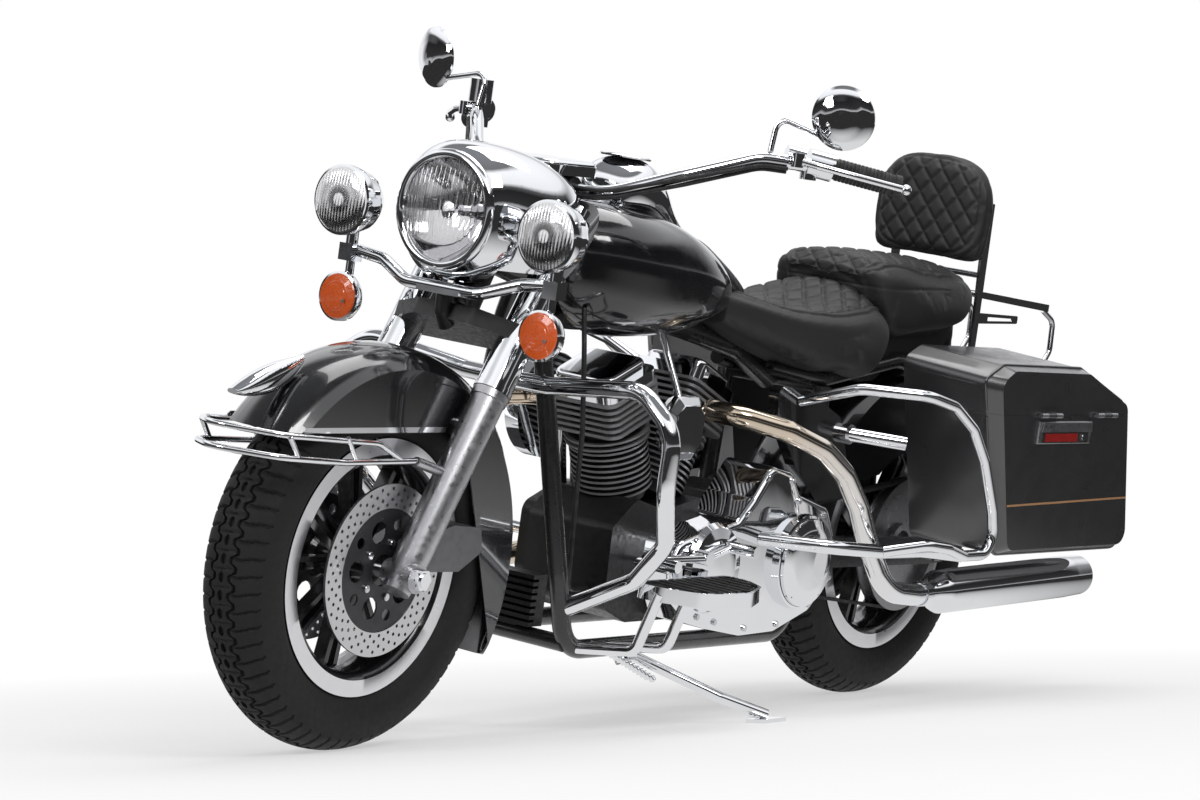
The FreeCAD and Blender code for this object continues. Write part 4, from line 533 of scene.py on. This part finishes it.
def direction(x, y, z):
    return (to_row.to_3x3() @ Vector((x, y, z))).normalized()


def evaluated(holder, name):
    """The plain mesh that an object makes with its modifiers."""
    bpy.context.view_layer.update()
    mesh = bpy.data.meshes.new_from_object(holder.evaluated_get(bpy.context.evaluated_depsgraph_get()))
    mesh.name = name
    return mesh


def grown(name, tree, points, settings):
    """The plain mesh that a geometry tree makes from points."""
    mesh = bpy.data.meshes.new(f"{name}_points")
    mesh.from_pydata([tuple(p) for p in points], [], [])
    holder = bpy.data.objects.new(f"{name}_points", mesh)
    bpy.context.scene.collection.objects.link(holder)
    modifier = holder.modifiers.new("grow", "NODES")
    modifier.node_group = tree
    for item in tree.interface.items_tree:
        if item.in_out == "INPUT" and item.name in settings:
            modifier[item.identifier] = settings[item.name]
    result = evaluated(holder, name)
    bpy.data.objects.remove(holder)
    bpy.data.meshes.remove(mesh)
    return result


def screws(name, spots, way, radius, height, sides, metal, body):
    """Screw heads at machine points in millimetres, all facing one way."""
    mesh = grown(name, screw_heads, [at(*p) for p in spots],
                 {"Way": tuple(direction(*way)), "Radius": radius / 1000, "Height": height / 1000,
                  "Sides": sides, "Metal": metal})
    return piece(name, mesh, body)


def around(centre, radius, count, phase=0.0):
    """Points in side view round a centre, at its own width."""
    return [(x, centre[1], z) for x, z in circle(radius, count, (centre[0], centre[2]), phase)]


bright_steel = finish("bright_steel", (0.72, 0.72, 0.74), 0.14, metal=1.0, bump=0.00001)
for side, tag in SIDES:
    screws(f"disc_bolts_{tag}", around((FRONT_X, side * (DISC_Y + 3.4), AXLE_Z), 48, 5, 0.6),
           (0, side, 0), 6.5, 5, 12, bright_steel, "front_wheel")

# Bright parts: decorative chromium plate on steel and castings, very smooth with a faint waviness.
# The fork sliders and the bag latches are bare castings, as are the brake calipers, whose darker grey is painted
# shade.


def plating():
    s = Shade("chrome_plate")
    where = s.place()
    s.link(s.mixed(s.noise(where, 9.0), (0.86, 0.87, 0.89, 1), (0.7998, 0.8091, 0.8277, 1)), "Base Color")
    s.link(s.ranged(s.noise(where, 160.0, 5.0), 0.0175, 0.07, 0.3, 0.75), "Roughness")
    s.link(s.bump(s.noise(where, 11.0, 1.0), 0.0005), "Normal")
    s.set(Metallic=1.0)
    return s.material


chrome = plating()
satin = finish("satin_cast", (0.58, 0.58, 0.60), 0.34, metal=1.0, grain=120, bump=0.00003)
for part in ("fork_sliders", "bag_latches"):
    skinned(part, satin)
# The calipers' bare cast metal is darkened to a grey as painted shade.
satin_painted_shade = finish("satin_painted_shade", (0.20, 0.20, 0.21), 0.42, metal=0.85, grain=90, bump=0.00005)
skinned("brake_calipers", satin_painted_shade, 30)
for part in ("fork_tubes", "handlebar", "fender_bumper", "front_axle", "rear_axle", "hand_controls",
             "mirrors", "headlight_nacelle", "passing_lamps", "turn_signals"):
    skinned(part, chrome)

# Painted sheet metal: fenders, tank, side covers and tail lamp housing, pressed from steel and
# sprayed deep black under a clear coat.
deep_black = finish("deep_black_paint", (0.0045, 0.0048, 0.0055), 0.16, coat=1.0, coat_rough=0.012,
                    bump=0.00001, fine=60)
for part in ("front_fender", "rear_fender", "fuel_tank", "side_covers", "tail_lamp"):
    skinned(part, deep_black, 40)

# Rubber: hand grips, the drive belt and the jackets of the cables, all moulded and dull black.
# The grips are pushed on the bar and the belt runs on the pulley of the rear wheel.
soft_rubber = finish("soft_rubber", (0.014, 0.014, 0.015), 0.62, bump=0.00005, fine=700)
for part in ("hand_grips", "control_cables", "clutch_cable", "drive_belt"):
    skinned(part, soft_rubber)

# Engine castings and lower yokes: cast aluminium under a satin black paint. Rocker boxes, covers,
# pushrod tubes, mufflers, guards, rack and footboards are chromed like the bar.
engine_black = finish("engine_black", (0.008, 0.008, 0.0085), 0.42, grain=140, bump=0.00007, fine=520)
for part in ("crankcase", "transmission", "regulator", "steering_yokes"):
    skinned(part, engine_black, 30)
for part in ("rocker_boxes", "pushrod_tubes", "primary_cover", "air_cleaner", "horn_cover", "mufflers",
             "tank_console", "luggage_rack", "engine_guard", "saddlebag_guards", "foot_controls",
             "side_stand", "footrests", "stand_springs"):
    skinned(part, chrome)

# Headlight: a chromed ring round a fluted glass lens, with a deep silvered bowl and a shield
# over the bulb. The bowl is closed at the back by the chromed shell.
HEAD_X, HEAD_Z, PLAIN_EDGE = 1478.0, 918.0, 48.0


def turned_skin(outline, centre, way, count=96):
    """A turned skin from (along, radius) points about an axis through a centre."""
    bm = bmesh.new()
    axis = Vector(way).normalized()
    u = axis.orthogonal().normalized()
    v = axis.cross(u)
    rings = []
    for along, radius in outline:
        if radius < 1e-6:
            rings.append([bm.verts.new(Vector(centre) + axis * along)])
            continue
        middle = Vector(centre) + axis * along
        rings.append([bm.verts.new(middle + (u * math.cos(a) + v * math.sin(a)) * radius)
                      for a in (2 * math.pi * k / count for k in range(count))])
    for first, second in zip(rings, rings[1:]):
        for k in range(count):
            n = (k + 1) % count
            corners = [first[k % len(first)], first[n % len(first)], second[n % len(second)],
                       second[k % len(second)]]
            corners = list(dict.fromkeys(corners))
            if len(corners) > 2:
                bm.faces.new(corners)
    return bm


def turned_piece(name, outline, centre, way, material, body, slot, replaces=(), angle=30, count=96,
                 thick=0.0, shape=None):
    """A turned piece: a closed section, or an open one that is given a thickness."""
    bm = turned_skin(outline, centre, way, count)
    if shape:
        for vertex in bm.verts:
            vertex.co = shape(vertex.co)
    if thick:
        bmesh.ops.recalc_face_normals(bm, faces=bm.faces)
        bmesh.ops.solidify(bm, geom=bm.faces[:], thickness=thick)
    bmesh.ops.transform(bm, matrix=to_row, verts=bm.verts)
    bmesh.ops.recalc_face_normals(bm, faces=bm.faces)
    smoothed(bm, angle)
    return piece(name, bm, body, [material], replaces)


def lamp_glass(name, flutes=0.0):
    """Clear lens glass; flutes are its vertical ribs per metre, above the plain lower edge."""
    s = Shade(name)
    where = s.place()
    s.link(s.mixed(s.noise(where, 12.0), (1, 1, 1, 1), (0.94, 0.94, 0.94, 1)), "Base Color")
    s.link(s.ranged(s.noise(where, 200.0), 0.012, 0.032), "Roughness")
    if flutes:
        parts = s.sides(where)
        ribs = s.math("ABSOLUTE", s.math("SINE", s.math("MULTIPLY", parts["Y"], flutes * math.pi)))
        clear = s.math("GREATER_THAN", parts["Z"], (HEAD_Z - AXLE_Z - PLAIN_EDGE) / 1000)
        s.link(s.bump(s.math("MULTIPLY", ribs, clear), 0.0011), "Normal")
    s.set(Transmission_Weight=1.0, IOR=1.45)
    return s.material


def silvered():
    """Vapour-coated aluminium inside the bowl, a little uneven."""
    s = Shade("silvered_reflector")
    where = s.place()
    s.link(s.mixed(s.noise(where, 8.0), (0.8, 0.8, 0.82, 1), (0.68, 0.68, 0.7, 1)), "Base Color")
    s.link(s.ranged(s.noise(where, 120.0), 0.042, 0.09), "Roughness")
    s.set(Metallic=1.0)
    return s.material


reflector = silvered()
fluted_glass = lamp_glass("fluted_glass", flutes=95.0)
for name, outline, material, slot, more in (
        ("headlight_ring", ((0.3, 91), (0.3, 102.8), (6, 102.8), (10.5, 99.5), (12, 94), (11.4, 90),
                            (8, 87.4), (2, 87), (0.3, 91)), chrome, "chrome",
         {"replaces": ["headlight"], "angle": 50}),
        ("headlight_bowl", ((2.5, 88.5), (-6, 84), (-22, 74), (-38, 58), (-50, 36), (-55, 14), (-55.5, 0)),
         reflector, "chrome", {"thick": 1.2}),
        ("headlight_shell", ((-1, 90), (-9, 87), (-26, 77), (-42, 60), (-54, 38), (-57.6, 15), (-57.8, 0)),
         chrome, "chrome", {}),
        ("headlight_bulb_shield", ((-54, 9), (-30, 10), (-16, 15), (-8, 17), (-3, 15), (0, 8), (0.5, 0)),
         chrome, "chrome", {"count": 48}),
        ("headlight_lens", ((4, 88), (7, 84), (11, 70), (14.5, 50), (17, 28), (18.3, 10), (18.6, 0)),
         fluted_glass, "lamp_glass", {"thick": 2.4})):
    turned_piece(name, outline, (HEAD_X, 0, HEAD_Z), (1, 0, 0), material, "fork", slot, **more)
screws("headlight_ring_screw", [(HEAD_X + 9.5, 0, HEAD_Z - 98)], (0.8, 0, -0.6), 3.2, 2.5, 12, bright_steel,
       "fork")

# Passing lamps: sealed beams with a fluted silver bowl behind clear glass, in chromed shells. Turn
# signals: moulded amber lenses with steps, each held by one screw.
LAMP_X, LAMP_Y, LAMP_Z, PASS_R = 1482.0, 222.0, 904.0, 61.0
SIGNAL_X, SIGNAL_Y, SIGNAL_Z = 1462.0, 219.0, 738.0


def bowl_painted_shade():
    """Silver with a deep bowl's light and shade painted in rings round the bulb, with fine upright flutes."""
    s = Shade("fluted_reflector_painted_shade")
    where = s.place()
    parts = s.sides(where)
    y = s.math("SUBTRACT", s.math("ABSOLUTE", parts["Y"]), LAMP_Y / 1000)
    z = s.math("SUBTRACT", parts["Z"], (LAMP_Z - AXLE_Z) / 1000)
    radius = s.reach(y, z)
    # Painted shade and highlight: a bright painted bulb, a dark ring round it, then lighter and darker rings to
    # the rim.
    depth = s.add("ValToRGB", {0: s.math("MULTIPLY", radius, 1000 / PASS_R)})
    ramp = depth.color_ramp
    ramp.elements[0].position, ramp.elements[0].color = 0.0, (0.9, 0.9, 0.92, 1)
    ramp.elements[1].position, ramp.elements[1].color = 1.0, (0.62, 0.62, 0.64, 1)
    for stop, grey in ((0.16, 0.86), (0.20, 0.10), (0.34, 0.22), (0.44, 0.62), (0.62, 0.42), (0.80, 0.86)):
        ramp.elements.new(stop).color = (grey, grey, grey * 1.02, 1)
    s.link(depth.outputs["Color"], "Base Color")
    s.link(s.ranged(s.noise(where, 120.0), 0.08, 0.2), "Roughness")
    ribs = s.math("ABSOLUTE", s.math("SINE", s.math("MULTIPLY", parts["Y"], 150.0 * math.pi)))
    s.link(s.bump(ribs, 0.0007), "Normal")
    s.set(Metallic=1.0)
    return s.material


fluted_silver_painted_shade = bowl_painted_shade()
clear_glass = lamp_glass("clear_glass")
amber = finish("amber_plastic", (0.70, 0.10, 0.010), 0.3, coat=0.8, grain=200, bump=0.0006, fine=170)
for side, tag in SIDES:
    centre = (LAMP_X, side * LAMP_Y, LAMP_Z)
    turned_piece(f"passing_reflector_{tag}", ((4.5, 57), (6.6, 54), (10.3, 37), (12.3, 12), (12.4, 0)),
                 centre, (1, 0, 0), fluted_silver_painted_shade, "fork", "chrome", thick=0.3)
    turned_piece(f"passing_glass_{tag}", ((5.2, 57.5), (8.6, 53), (12.6, 36), (14.8, 12), (15, 0)),
                 centre, (1, 0, 0), clear_glass, "fork", "lamp_glass", thick=0.8)
    centre = (SIGNAL_X, side * SIGNAL_Y, SIGNAL_Z)
    turned_piece(f"signal_lens_{tag}", ((4.4, 40), (7.6, 37.6), (10.2, 26), (11.2, 25), (11.4, 21),
                                        (12.6, 20), (13.4, 12), (13.6, 0)),
                 centre, (1, 0, 0), amber, "fork", "lamp_glass", thick=0.8)
    screws(f"signal_screws_{tag}", [(SIGNAL_X + 13.6, side * SIGNAL_Y + 20, SIGNAL_Z - 6)], (1, 0, 0), 3.4,
           1.5, 12, bright_steel, "fork")

# Seats and backrest pad: moulded foam under black vinyl, sewn from panels with a welt round the
# quilted top. The covers swell under cloth pressure, and the diamond stitching is drawn in after.
to_machine = np.array(to_row.inverted())


def vinyl(name, pleats=0.0, tone=(0.0065, 0.0065, 0.007), rough=0.36, gloss=1.0):
    """Coated cover cloth: fine pebbled grain, worn a little smoother in broad patches."""
    s = Shade(name)
    where = s.place()
    grain = s.add("TexVoronoi", {"Vector": where, "Scale": 620.0}, feature="F1").outputs["Distance"]
    s.link(s.mixed(s.noise(where, 7.0), (*tone, 1), (*(c * 1.7 for c in tone), 1)), "Base Color")
    s.link(s.ranged(s.noise(where, 26.0, 5.0), rough * 0.8, rough * 1.25, 0.3, 0.7), "Roughness")
    pebbles = s.bump(grain, 0.00022, 0.7)
    if pleats:
        along = s.sides(where)["X"]
        fold = s.math("ABSOLUTE", s.math("SINE", s.math("MULTIPLY", along, pleats * math.pi)))
        pebbles = s.bump(fold, 0.004, 1.0, pebbles)
    s.link(pebbles, "Normal")
    s.set(Specular_IOR_Level=0.5, Coat_Weight=gloss, Coat_Roughness=0.2, Coat_IOR=1.85)
    return s.material


seat_vinyl = vinyl("seat_vinyl")


def rows_of(items, key):
    """Vectors of a mesh, one to a row."""
    flat = np.empty(len(items) * 3)
    items.foreach_get(key, flat)
    return flat.reshape(-1, 3)


def put_points(mesh, points):
    mesh.vertices.foreach_set("co", points.astype(np.float32).ravel())
    mesh.update()


def stuffed(node, voxel=0.0055, inset=0.0045, cap=0.0065, pressure=4.0, frames=20):
    """The cover of a foam pad: remeshed, drawn in a little, then swollen by cloth pressure, but
    nowhere further than the cap."""
    start = nodes[node].data.copy()
    holder = bpy.data.objects.new(f"{node}_cover", start)
    bpy.context.scene.collection.objects.link(holder)
    bm = bmesh.new()
    bm.from_mesh(start)
    bmesh.ops.remove_doubles(bm, verts=bm.verts, dist=1e-5)
    bm.to_mesh(start)
    bm.free()
    remesh = holder.modifiers.new("voxels", "REMESH")
    remesh.mode, remesh.voxel_size = "VOXEL", voxel
    skin = evaluated(holder, f"{node}_cover")
    holder.modifiers.clear()
    put_points(skin, rows_of(skin.vertices, "co") - rows_of(skin.vertex_normals, "vector") * inset)
    holder.data = skin
    cloth = holder.modifiers.new("cloth", "CLOTH")
    cloth.settings.use_pressure = True
    cloth.settings.uniform_pressure_force = pressure
    cloth.settings.effector_weights.gravity = 0
    cloth.point_cache.frame_start, cloth.point_cache.frame_end = 1, frames
    for step in range(1, frames + 1):
        bpy.context.scene.frame_set(step)
    swollen = evaluated(holder, f"{node}_swollen")
    holder.modifiers.clear()
    before = rows_of(skin.vertices, "co")
    moved = rows_of(swollen.vertices, "co") - before
    reach = np.linalg.norm(moved, axis=1)[:, None]
    put_points(skin, before + moved * np.minimum(1.0, cap / np.maximum(reach, 1e-9)))
    bpy.context.scene.frame_set(1)
    finer = holder.modifiers.new("finer", "SUBSURF")
    finer.levels = finer.render_levels = 1
    done = evaluated(holder, f"{node}_cover")
    bpy.data.objects.remove(holder)
    return done


def eased(value, low, high):
    t = np.clip((value - low) / (high - low), 0, 1)
    return t * t * (3 - 2 * t)


def diamonds(u, v, depth, spread):
    """Height of a quilt of diamonds in millimetres: sunk along the stitches, full between them."""
    spacing = 1 / math.hypot(1 / u[1], 1 / v[1])
    one = (0.5 - np.abs((u[0] / u[1] + v[0] / v[1]) % 1 - 0.5)) * spacing
    two = (0.5 - np.abs((u[0] / u[1] - v[0] / v[1]) % 1 - 0.5)) * spacing
    near = np.minimum(one, two)
    return 1.2 * np.sqrt(np.clip(near / spacing * 2, 0, 1)) - depth * np.exp(-(near / spread) ** 2)


def sewn(node, height):
    """Finishes a cover with its stitching; height gives millimetres out from the surface."""
    mesh = stuffed(node)
    points, out = rows_of(mesh.vertices, "co"), rows_of(mesh.vertex_normals, "vector")
    spots = points @ to_machine[:3, :3].T + to_machine[:3, 3]
    facing = out @ (to_machine[:3, :3] / 1000).T
    put_points(mesh, points + out * (height(spots, facing) / 1000)[:, None])
    mesh.polygons.foreach_set("use_smooth", [True] * len(mesh.polygons))
    piece(f"{node}_cover", mesh, body_of[node], [seat_vinyl], [node])


def welt(offset):
    """A sewn edge in section: a raised cord with a crease on both sides."""
    return 2.2 * np.exp(-(offset / 2.4) ** 2) - 1.9 * np.exp(-((np.abs(offset) - 6.2) / 2.4) ** 2)


def rider_height(p, n):
    """Diamonds on the dished top, inside a welt whose half width follows the seat."""
    edge = np.interp(p[:, 0], (250, 330, 440, 560, 640, 700), (118, 136, 134, 112, 82, 52))
    inside = eased(edge - 7 - np.abs(p[:, 1]), 0, 8) * eased(n[:, 2], 0.25, 0.5) * eased(p[:, 2], 730, 745)
    top = eased(n[:, 2], 0.1, 0.35) * eased(p[:, 2], 720, 740)
    quilt = diamonds((p[:, 0], 58.0), (p[:, 1], 46.0), 3.6, 3.4)
    return quilt * inside + welt(np.abs(p[:, 1]) - edge) * top


def pillion_height(p, n):
    """Diamonds on the top and the front slope, a welt round them and a seam low on the sides."""
    edge = np.interp(p[:, 0], (-120, -90, 0, 150, 240, 300), (66, 92, 112, 116, 108, 84))
    inside = eased(edge - 7 - np.abs(p[:, 1]), 0, 8) * eased(n[:, 2] + 0.6 * n[:, 0], 0.3, 0.5) \
        * eased(p[:, 2], 838, 850)
    top = eased(n[:, 2], 0.1, 0.35) * eased(p[:, 2], 835, 850)
    quilt = diamonds((p[:, 0] - p[:, 2] * 0.8, 54.0), (p[:, 1], 44.0), 3.4, 3.2)
    side_seam = -1.6 * np.exp(-((p[:, 2] - 838 + p[:, 0] * 0.02) / 3) ** 2) * eased(0.5 - n[:, 2], 0, 0.2)
    return quilt * inside + welt(np.abs(p[:, 1]) - edge) * top + side_seam


def backrest_height(p, n):
    """Diamonds on the front inside a rounded welt, and a seam round the edge of the pad."""
    rim = ((np.abs(p[:, 1]) / 137) ** 3.4 + (np.abs(p[:, 2] - 993) / 110) ** 3.4) ** (1 / 3.4)
    front = eased(n[:, 0], 0.2, 0.5)
    quilt = diamonds((p[:, 2], 52.0), (p[:, 1], 44.0), 3.8, 3.2)
    seam = -2.0 * np.exp(-((p[:, 0] + 78) / 2.8) ** 2) * eased(0.6 - np.abs(n[:, 0]), 0, 0.3)
    return quilt * front * eased(0.86 - rim, 0, 0.07) + welt((rim - 0.90) * 120) * front + seam


sewn("rider_seat", rider_height)
sewn("passenger_seat", pillion_height)
sewn("backrest_pad", backrest_height)

# Tank bib: a strip of the same vinyl over the rear of the tank, sewn in short cross pleats and
# held down by the tank console.
skinned("tank_bib", vinyl("bib_vinyl", pleats=52.0, tone=(0.012, 0.012, 0.013), rough=0.42, gloss=0.3), 40)

# Saddlebags: thick leather over a moulded box, with welted edges, a lid that is hinged outboard,
# a tan pinstripe and a latch with a red reflector. The welts follow the outline of box and lid.
bag_leather = vinyl("bag_leather", tone=(0.011, 0.011, 0.012), rough=0.34, gloss=0.8)
for part in ("saddlebag_left", "saddlebag_right", "saddlebag_lid_left", "saddlebag_lid_right"):
    skinned(part, bag_leather, 24)


def tube(name, points, radius, material, body, sides=3):
    """A round cord or rod along machine points."""
    line = bpy.data.curves.new(name, "CURVE")
    line.dimensions, line.bevel_depth, line.bevel_resolution = "3D", radius / 1000, sides
    line.use_fill_caps = True
    run = line.splines.new("NURBS")
    run.points.add(len(points) - 1)
    for point, place in zip(run.points, points):
        point.co = (*at(*place), 1.0)
    run.order_u, run.use_endpoint_u, run.resolution_u = 3, True, 6
    holder = bpy.data.objects.new(name, line)
    bpy.context.scene.collection.objects.link(holder)
    mesh = evaluated(holder, name)
    bpy.data.objects.remove(holder)
    mesh.materials.clear()
    mesh.polygons.foreach_set("use_smooth", [True] * len(mesh.polygons))
    return piece(name, mesh, body, [material])


def plate(name, corners, push, material, body, rounding=0):
    """A flat plate from its corners in machine millimetres, as thick as its push to one side."""
    bm = bmesh.new()
    face = bm.faces.new([bm.verts.new(corner) for corner in corners])
    if rounding:
        bmesh.ops.bevel(bm, geom=face.verts[:], offset=rounding, segments=6, affect="VERTICES")
    bmesh.ops.recalc_face_normals(bm, faces=bm.faces)
    solid = bmesh.ops.extrude_face_region(bm, geom=bm.faces[:])
    bmesh.ops.translate(bm, verts=[v for v in solid["geom"] if isinstance(v, bmesh.types.BMVert)], vec=push)
    bmesh.ops.transform(bm, matrix=to_row, verts=bm.verts)
    bmesh.ops.recalc_face_normals(bm, faces=bm.faces)
    return piece(name, bm, body, [material])


tan_line = finish("tan_pinstripe", (0.42, 0.22, 0.10), 0.45)
red_glass = finish("red_reflector", (0.28, 0.012, 0.01), 0.12, coat=1.0, grain=300, bump=0.0002, fine=420)
dark_slot = finish("latch_recess", (0.02, 0.02, 0.021), 0.4)
WELT_Y = 390
BAG_EDGE = ((-268, 630), (-327, 362), (168, 362), (263, 630))
LID_EDGE = ((265, 641), (288, 700), (226, 728), (-70, 724), (-262, 658), (-265, 641))


def rounded(outline, radius):
    """Control points that turn each inner corner of a line with about this radius."""
    run = [outline[0]]
    for before, corner, after in zip(outline, outline[1:], outline[2:]):
        back_way, on_way = (Vector(before) - Vector(corner)), (Vector(after) - Vector(corner))
        reach = 2 * radius / math.tan(back_way.angle(on_way) / 2)
        run += [tuple(Vector(corner) + way.normalized() * min(reach, way.length * 0.45))
                if way else corner for way in (back_way, None, on_way)]
    return run + [outline[-1]]


BAG_STRIPS = (
    ("pinstripe", 416.2, 0.5, ((183, 459), (183, 463), (-286, 470.5), (-286, 466.5)), tan_line,
     "saddlebag_black"),
    ("latch_recess", 421.6, 0.3, ((94, 583), (94, 603), (-84, 603), (-84, 583)), dark_slot, "chrome"),
    ("latch_plate", 421.9, 3.0, ((102, 604), (98, 622), (-88, 622), (-92, 604)), satin, "chrome"),
    ("latch_reflector", 421.9, 1.4, ((86, 585), (86, 601), (-40, 601), (-40, 585)), red_glass, "lamp_glass"))
for side, tag in SIDES:
    for part, edge, body in (("bag", BAG_EDGE, "chassis"), ("lid", LID_EDGE, f"lid_{tag}")):
        tube(f"{part}_welt_{tag}", [(x, side * WELT_Y, z) for x, z in rounded(edge, 26)], 3.0,
             bag_leather, body, sides=4)
    for part, y, thick, outline, material, slot in BAG_STRIPS:
        plate(f"{part}_{tag}", [(x, y * side, z) for x, z in outline], (0, side * thick, 0), material,
              "chassis")
    screws(f"latch_lock_{tag}", [(-62, side * 421.8, 593)], (0, side, 0), 7, 3, 24, bright_steel, "chassis")

# Hand grips: black rubber sleeves with ribs round them, moulded in one piece and pushed on the
# bar's ends.
BAR_END, BAR_BEND, GRIP_LENGTH = Vector((836, 474, 1052)), Vector((923, 390, 1068)), 118
RIBS, RIB_PITCH, RIB_FOOT, RIB_TOP, BORE = 14, 7, 18.1, 19.5, 17.2
for side, tag in SIDES:
    along = (BAR_END - BAR_BEND).normalized()
    start = BAR_END - along * GRIP_LENGTH
    ribs = [(6, BORE), (6, RIB_FOOT)]
    for k in range(RIBS):
        ribs += [(place + RIB_PITCH * k, radius) for place, radius in
                 ((7, RIB_FOOT), (8, RIB_TOP), (11.5, RIB_TOP), (12.5, RIB_FOOT))]
    ribs += [(107, RIB_FOOT), (107, BORE), (6, BORE)]
    turned_piece(f"grip_ribs_{tag}", ribs, (start.x, start.y * side, start.z),
                 (along.x, along.y * side, along.z), soft_rubber, "fork", "grip_rubber", count=32)

# Cylinders: finned aluminium castings under crinkled black paint, with the fin edges machined
# bare. The two lean from the crankshaft by half of the vee.
CRANK, FIN_R, HALF_VEE, LOWEST_FIN = (838.0, 318.0), 72.0, math.radians(22.5), 392.0


def finned_black():
    s = Shade("finned_black")
    where = s.place()
    parts = s.sides(where)
    x = s.math("SUBTRACT", parts["X"], CRANK[0] / 1000)
    z = s.math("SUBTRACT", parts["Z"], (CRANK[1] - AXLE_Z) / 1000)
    far = []
    for lean in (HALF_VEE, -HALF_VEE):
        off = s.math("SUBTRACT", s.math("MULTIPLY", x, math.cos(lean)),
                     s.math("MULTIPLY", z, math.sin(lean)))
        far.append(s.reach(off, parts["Y"]))
    reach = s.math("MINIMUM", far[0], far[1])
    rim = s.ranged(reach, 0.0, 1.0, FIN_R / 1000 - 0.0016, FIN_R / 1000 - 0.0004)
    level = s.math("GREATER_THAN", parts["Z"], (LOWEST_FIN - AXLE_Z) / 1000)
    bare = s.math("MULTIPLY", s.math("MULTIPLY", rim, level), 0.4)
    paint = s.mixed(s.noise(where, 22.0), (0.010, 0.010, 0.011, 1), (0.018, 0.018, 0.019, 1))
    s.link(s.mixed(bare, paint, (0.50, 0.50, 0.51, 1)), "Base Color")
    s.link(bare, "Metallic")
    s.link(s.ranged(s.noise(where, 90.0, 5.0), 0.3, 0.5), "Roughness")
    s.link(s.bump(s.noise(where, 640.0, 3.0), 0.00012), "Normal")
    return s.material


skinned("cylinders", finned_black(), 30)

# Primary cover: a polished casting held by screws along its rim, with a round clutch cover that
# has its own five screws and a black seam round it.
CLUTCH_X, CLUTCH_Z = 552, 326
RIM_SCREWS = ((950, 330), (900, 374), (800, 388), (742, 420), (690, 486), (610, 478), (580, 440),
              (486, 412), (446, 352), (442, 292), (500, 242), (600, 209), (705, 206), (806, 222),
              (864, 234), (924, 272))
screws("primary_screws", [(x, 205.2, z) for x, z in RIM_SCREWS], (0, 1, 0), 6.0, 4.0, 24, bright_steel,
       "chassis")
screws("clutch_cover_screws", around((CLUTCH_X, 226.8, CLUTCH_Z), 74, 5, 0.3), (0, 1, 0), 3.6, 2.4, 12,
       dark_slot, "chassis")
seam_black = finish("seam_black", (0.01, 0.01, 0.01), 0.5)
turned_piece("clutch_cover_seam", ((219.6, 83.2), (221.0, 83.4), (221.0, 81.0), (219.6, 80.6),
                                   (219.6, 83.2)),
             (CLUTCH_X, 0, CLUTCH_Z), (0, 1, 0), seam_black, "chassis", "chrome", angle=50)

# Footboards: pressed steel with a chromed rim, and a rubber mat on top that is moulded with ribs
# across it.
BOARD = ((1128, 238), (1124, 296), (1080, 366), (960, 380), (872, 340), (834, 282), (834, 238))
MAT_X, MAT_Y, MAT_Z = 990, 306, 312.1
mat_rubber = finish("mat_rubber", (0.013, 0.013, 0.013), 0.6, bump=0.00006, fine=500)
for side, tag in SIDES:
    inner = [(MAT_X + (x - MAT_X) * 0.93, (MAT_Y + (y - MAT_Y) * 0.86) * side, MAT_Z) for x, y in BOARD]
    plate(f"board_mat_{tag}", inner, (0, 0, 4.0), mat_rubber, "chassis", rounding=22)
    for i, x in enumerate(range(880, 1090, 26)):
        outer = np.interp(x, (834, 872, 960, 1080, 1124), (276, 326, 366, 352, 300))
        line = ((252, 4.3), ((252 + outer) / 2, 4.5), (outer, 4.3))
        tube(f"board_rib_{tag}_{i}", [(x, side * y, MAT_Z + lift) for y, lift in line], 2.2, mat_rubber,
             "chassis")

# Exhaust: steel head pipes, bent and chromed, that the heat has tinted straw and brown near the
# engine.
HOTTEST, COOLEST = 0.72, 0.38


def heated():
    s = Shade("heated_chrome")
    where = s.place()
    parts = s.sides(where)
    hot = s.math("MULTIPLY", s.ranged(parts["X"], 0.0, 1.0, COOLEST, HOTTEST),
                 s.ranged(s.noise(where, 12.0), 0.5, 1.0))
    s.link(s.mixed(hot, (0.84, 0.85, 0.87, 1), (0.62, 0.47, 0.30, 1)), "Base Color")
    s.link(s.ranged(s.noise(where, 60.0, 5.0), 0.05, 0.16), "Roughness")
    s.set(Metallic=1.0)
    return s.material


skinned("exhaust_pipes", heated())

# Rear lights: a red moulded lens on the painted housing of the tail lamp, and red lenses pressed
# into the rear signals.
TAIL_Z, TAIL_WIDER, TAIL_FLATTER = 574, 1.1, 0.66
for side, tag in SIDES:
    turned_piece(f"rear_signal_lens_{tag}", ((4.4, 33), (7.0, 31), (9.4, 20), (10, 8), (10.1, 0)),
                 (-352, side * 150, 560), (-1, 0, 0), red_glass, "chassis", "lamp_glass", thick=0.8)
turned_piece("tail_lens", ((0, 40), (6, 40), (12, 37), (17, 26), (19.5, 12), (20, 0)), (-326.5, 0, TAIL_Z),
             (-1, 0, 0.16), red_glass, "chassis", "lamp_glass",
             shape=lambda p: Vector((p.x, p.y * TAIL_WIDER, TAIL_Z + (p.z - TAIL_Z) * TAIL_FLATTER)))

# Instrument: one dial in the top of the tank console, a black painted face under domed glass that
# a chromed ring holds.
DIAL, DIAL_WAY = (988, 0, 1031.4), (-0.05, 0, 1)
dial_paint = finish("dial_paint", (0.02, 0.02, 0.022), 0.5)
turned_piece("dial_ring", ((0, 46), (3, 47), (5, 45), (5.2, 42), (3, 41), (0, 46)), DIAL, DIAL_WAY, chrome,
             "chassis", "chrome", angle=50)
turned_piece("dial_face", ((2.2, 41.6), (2.2, 0)), DIAL, DIAL_WAY, dial_paint, "chassis", "chrome", thick=0.4)
turned_piece("dial_glass", ((3.4, 41.8), (5.6, 30), (6.6, 12), (6.8, 0)), DIAL, DIAL_WAY, clear_glass,
             "chassis", "lamp_glass", thick=0.8)
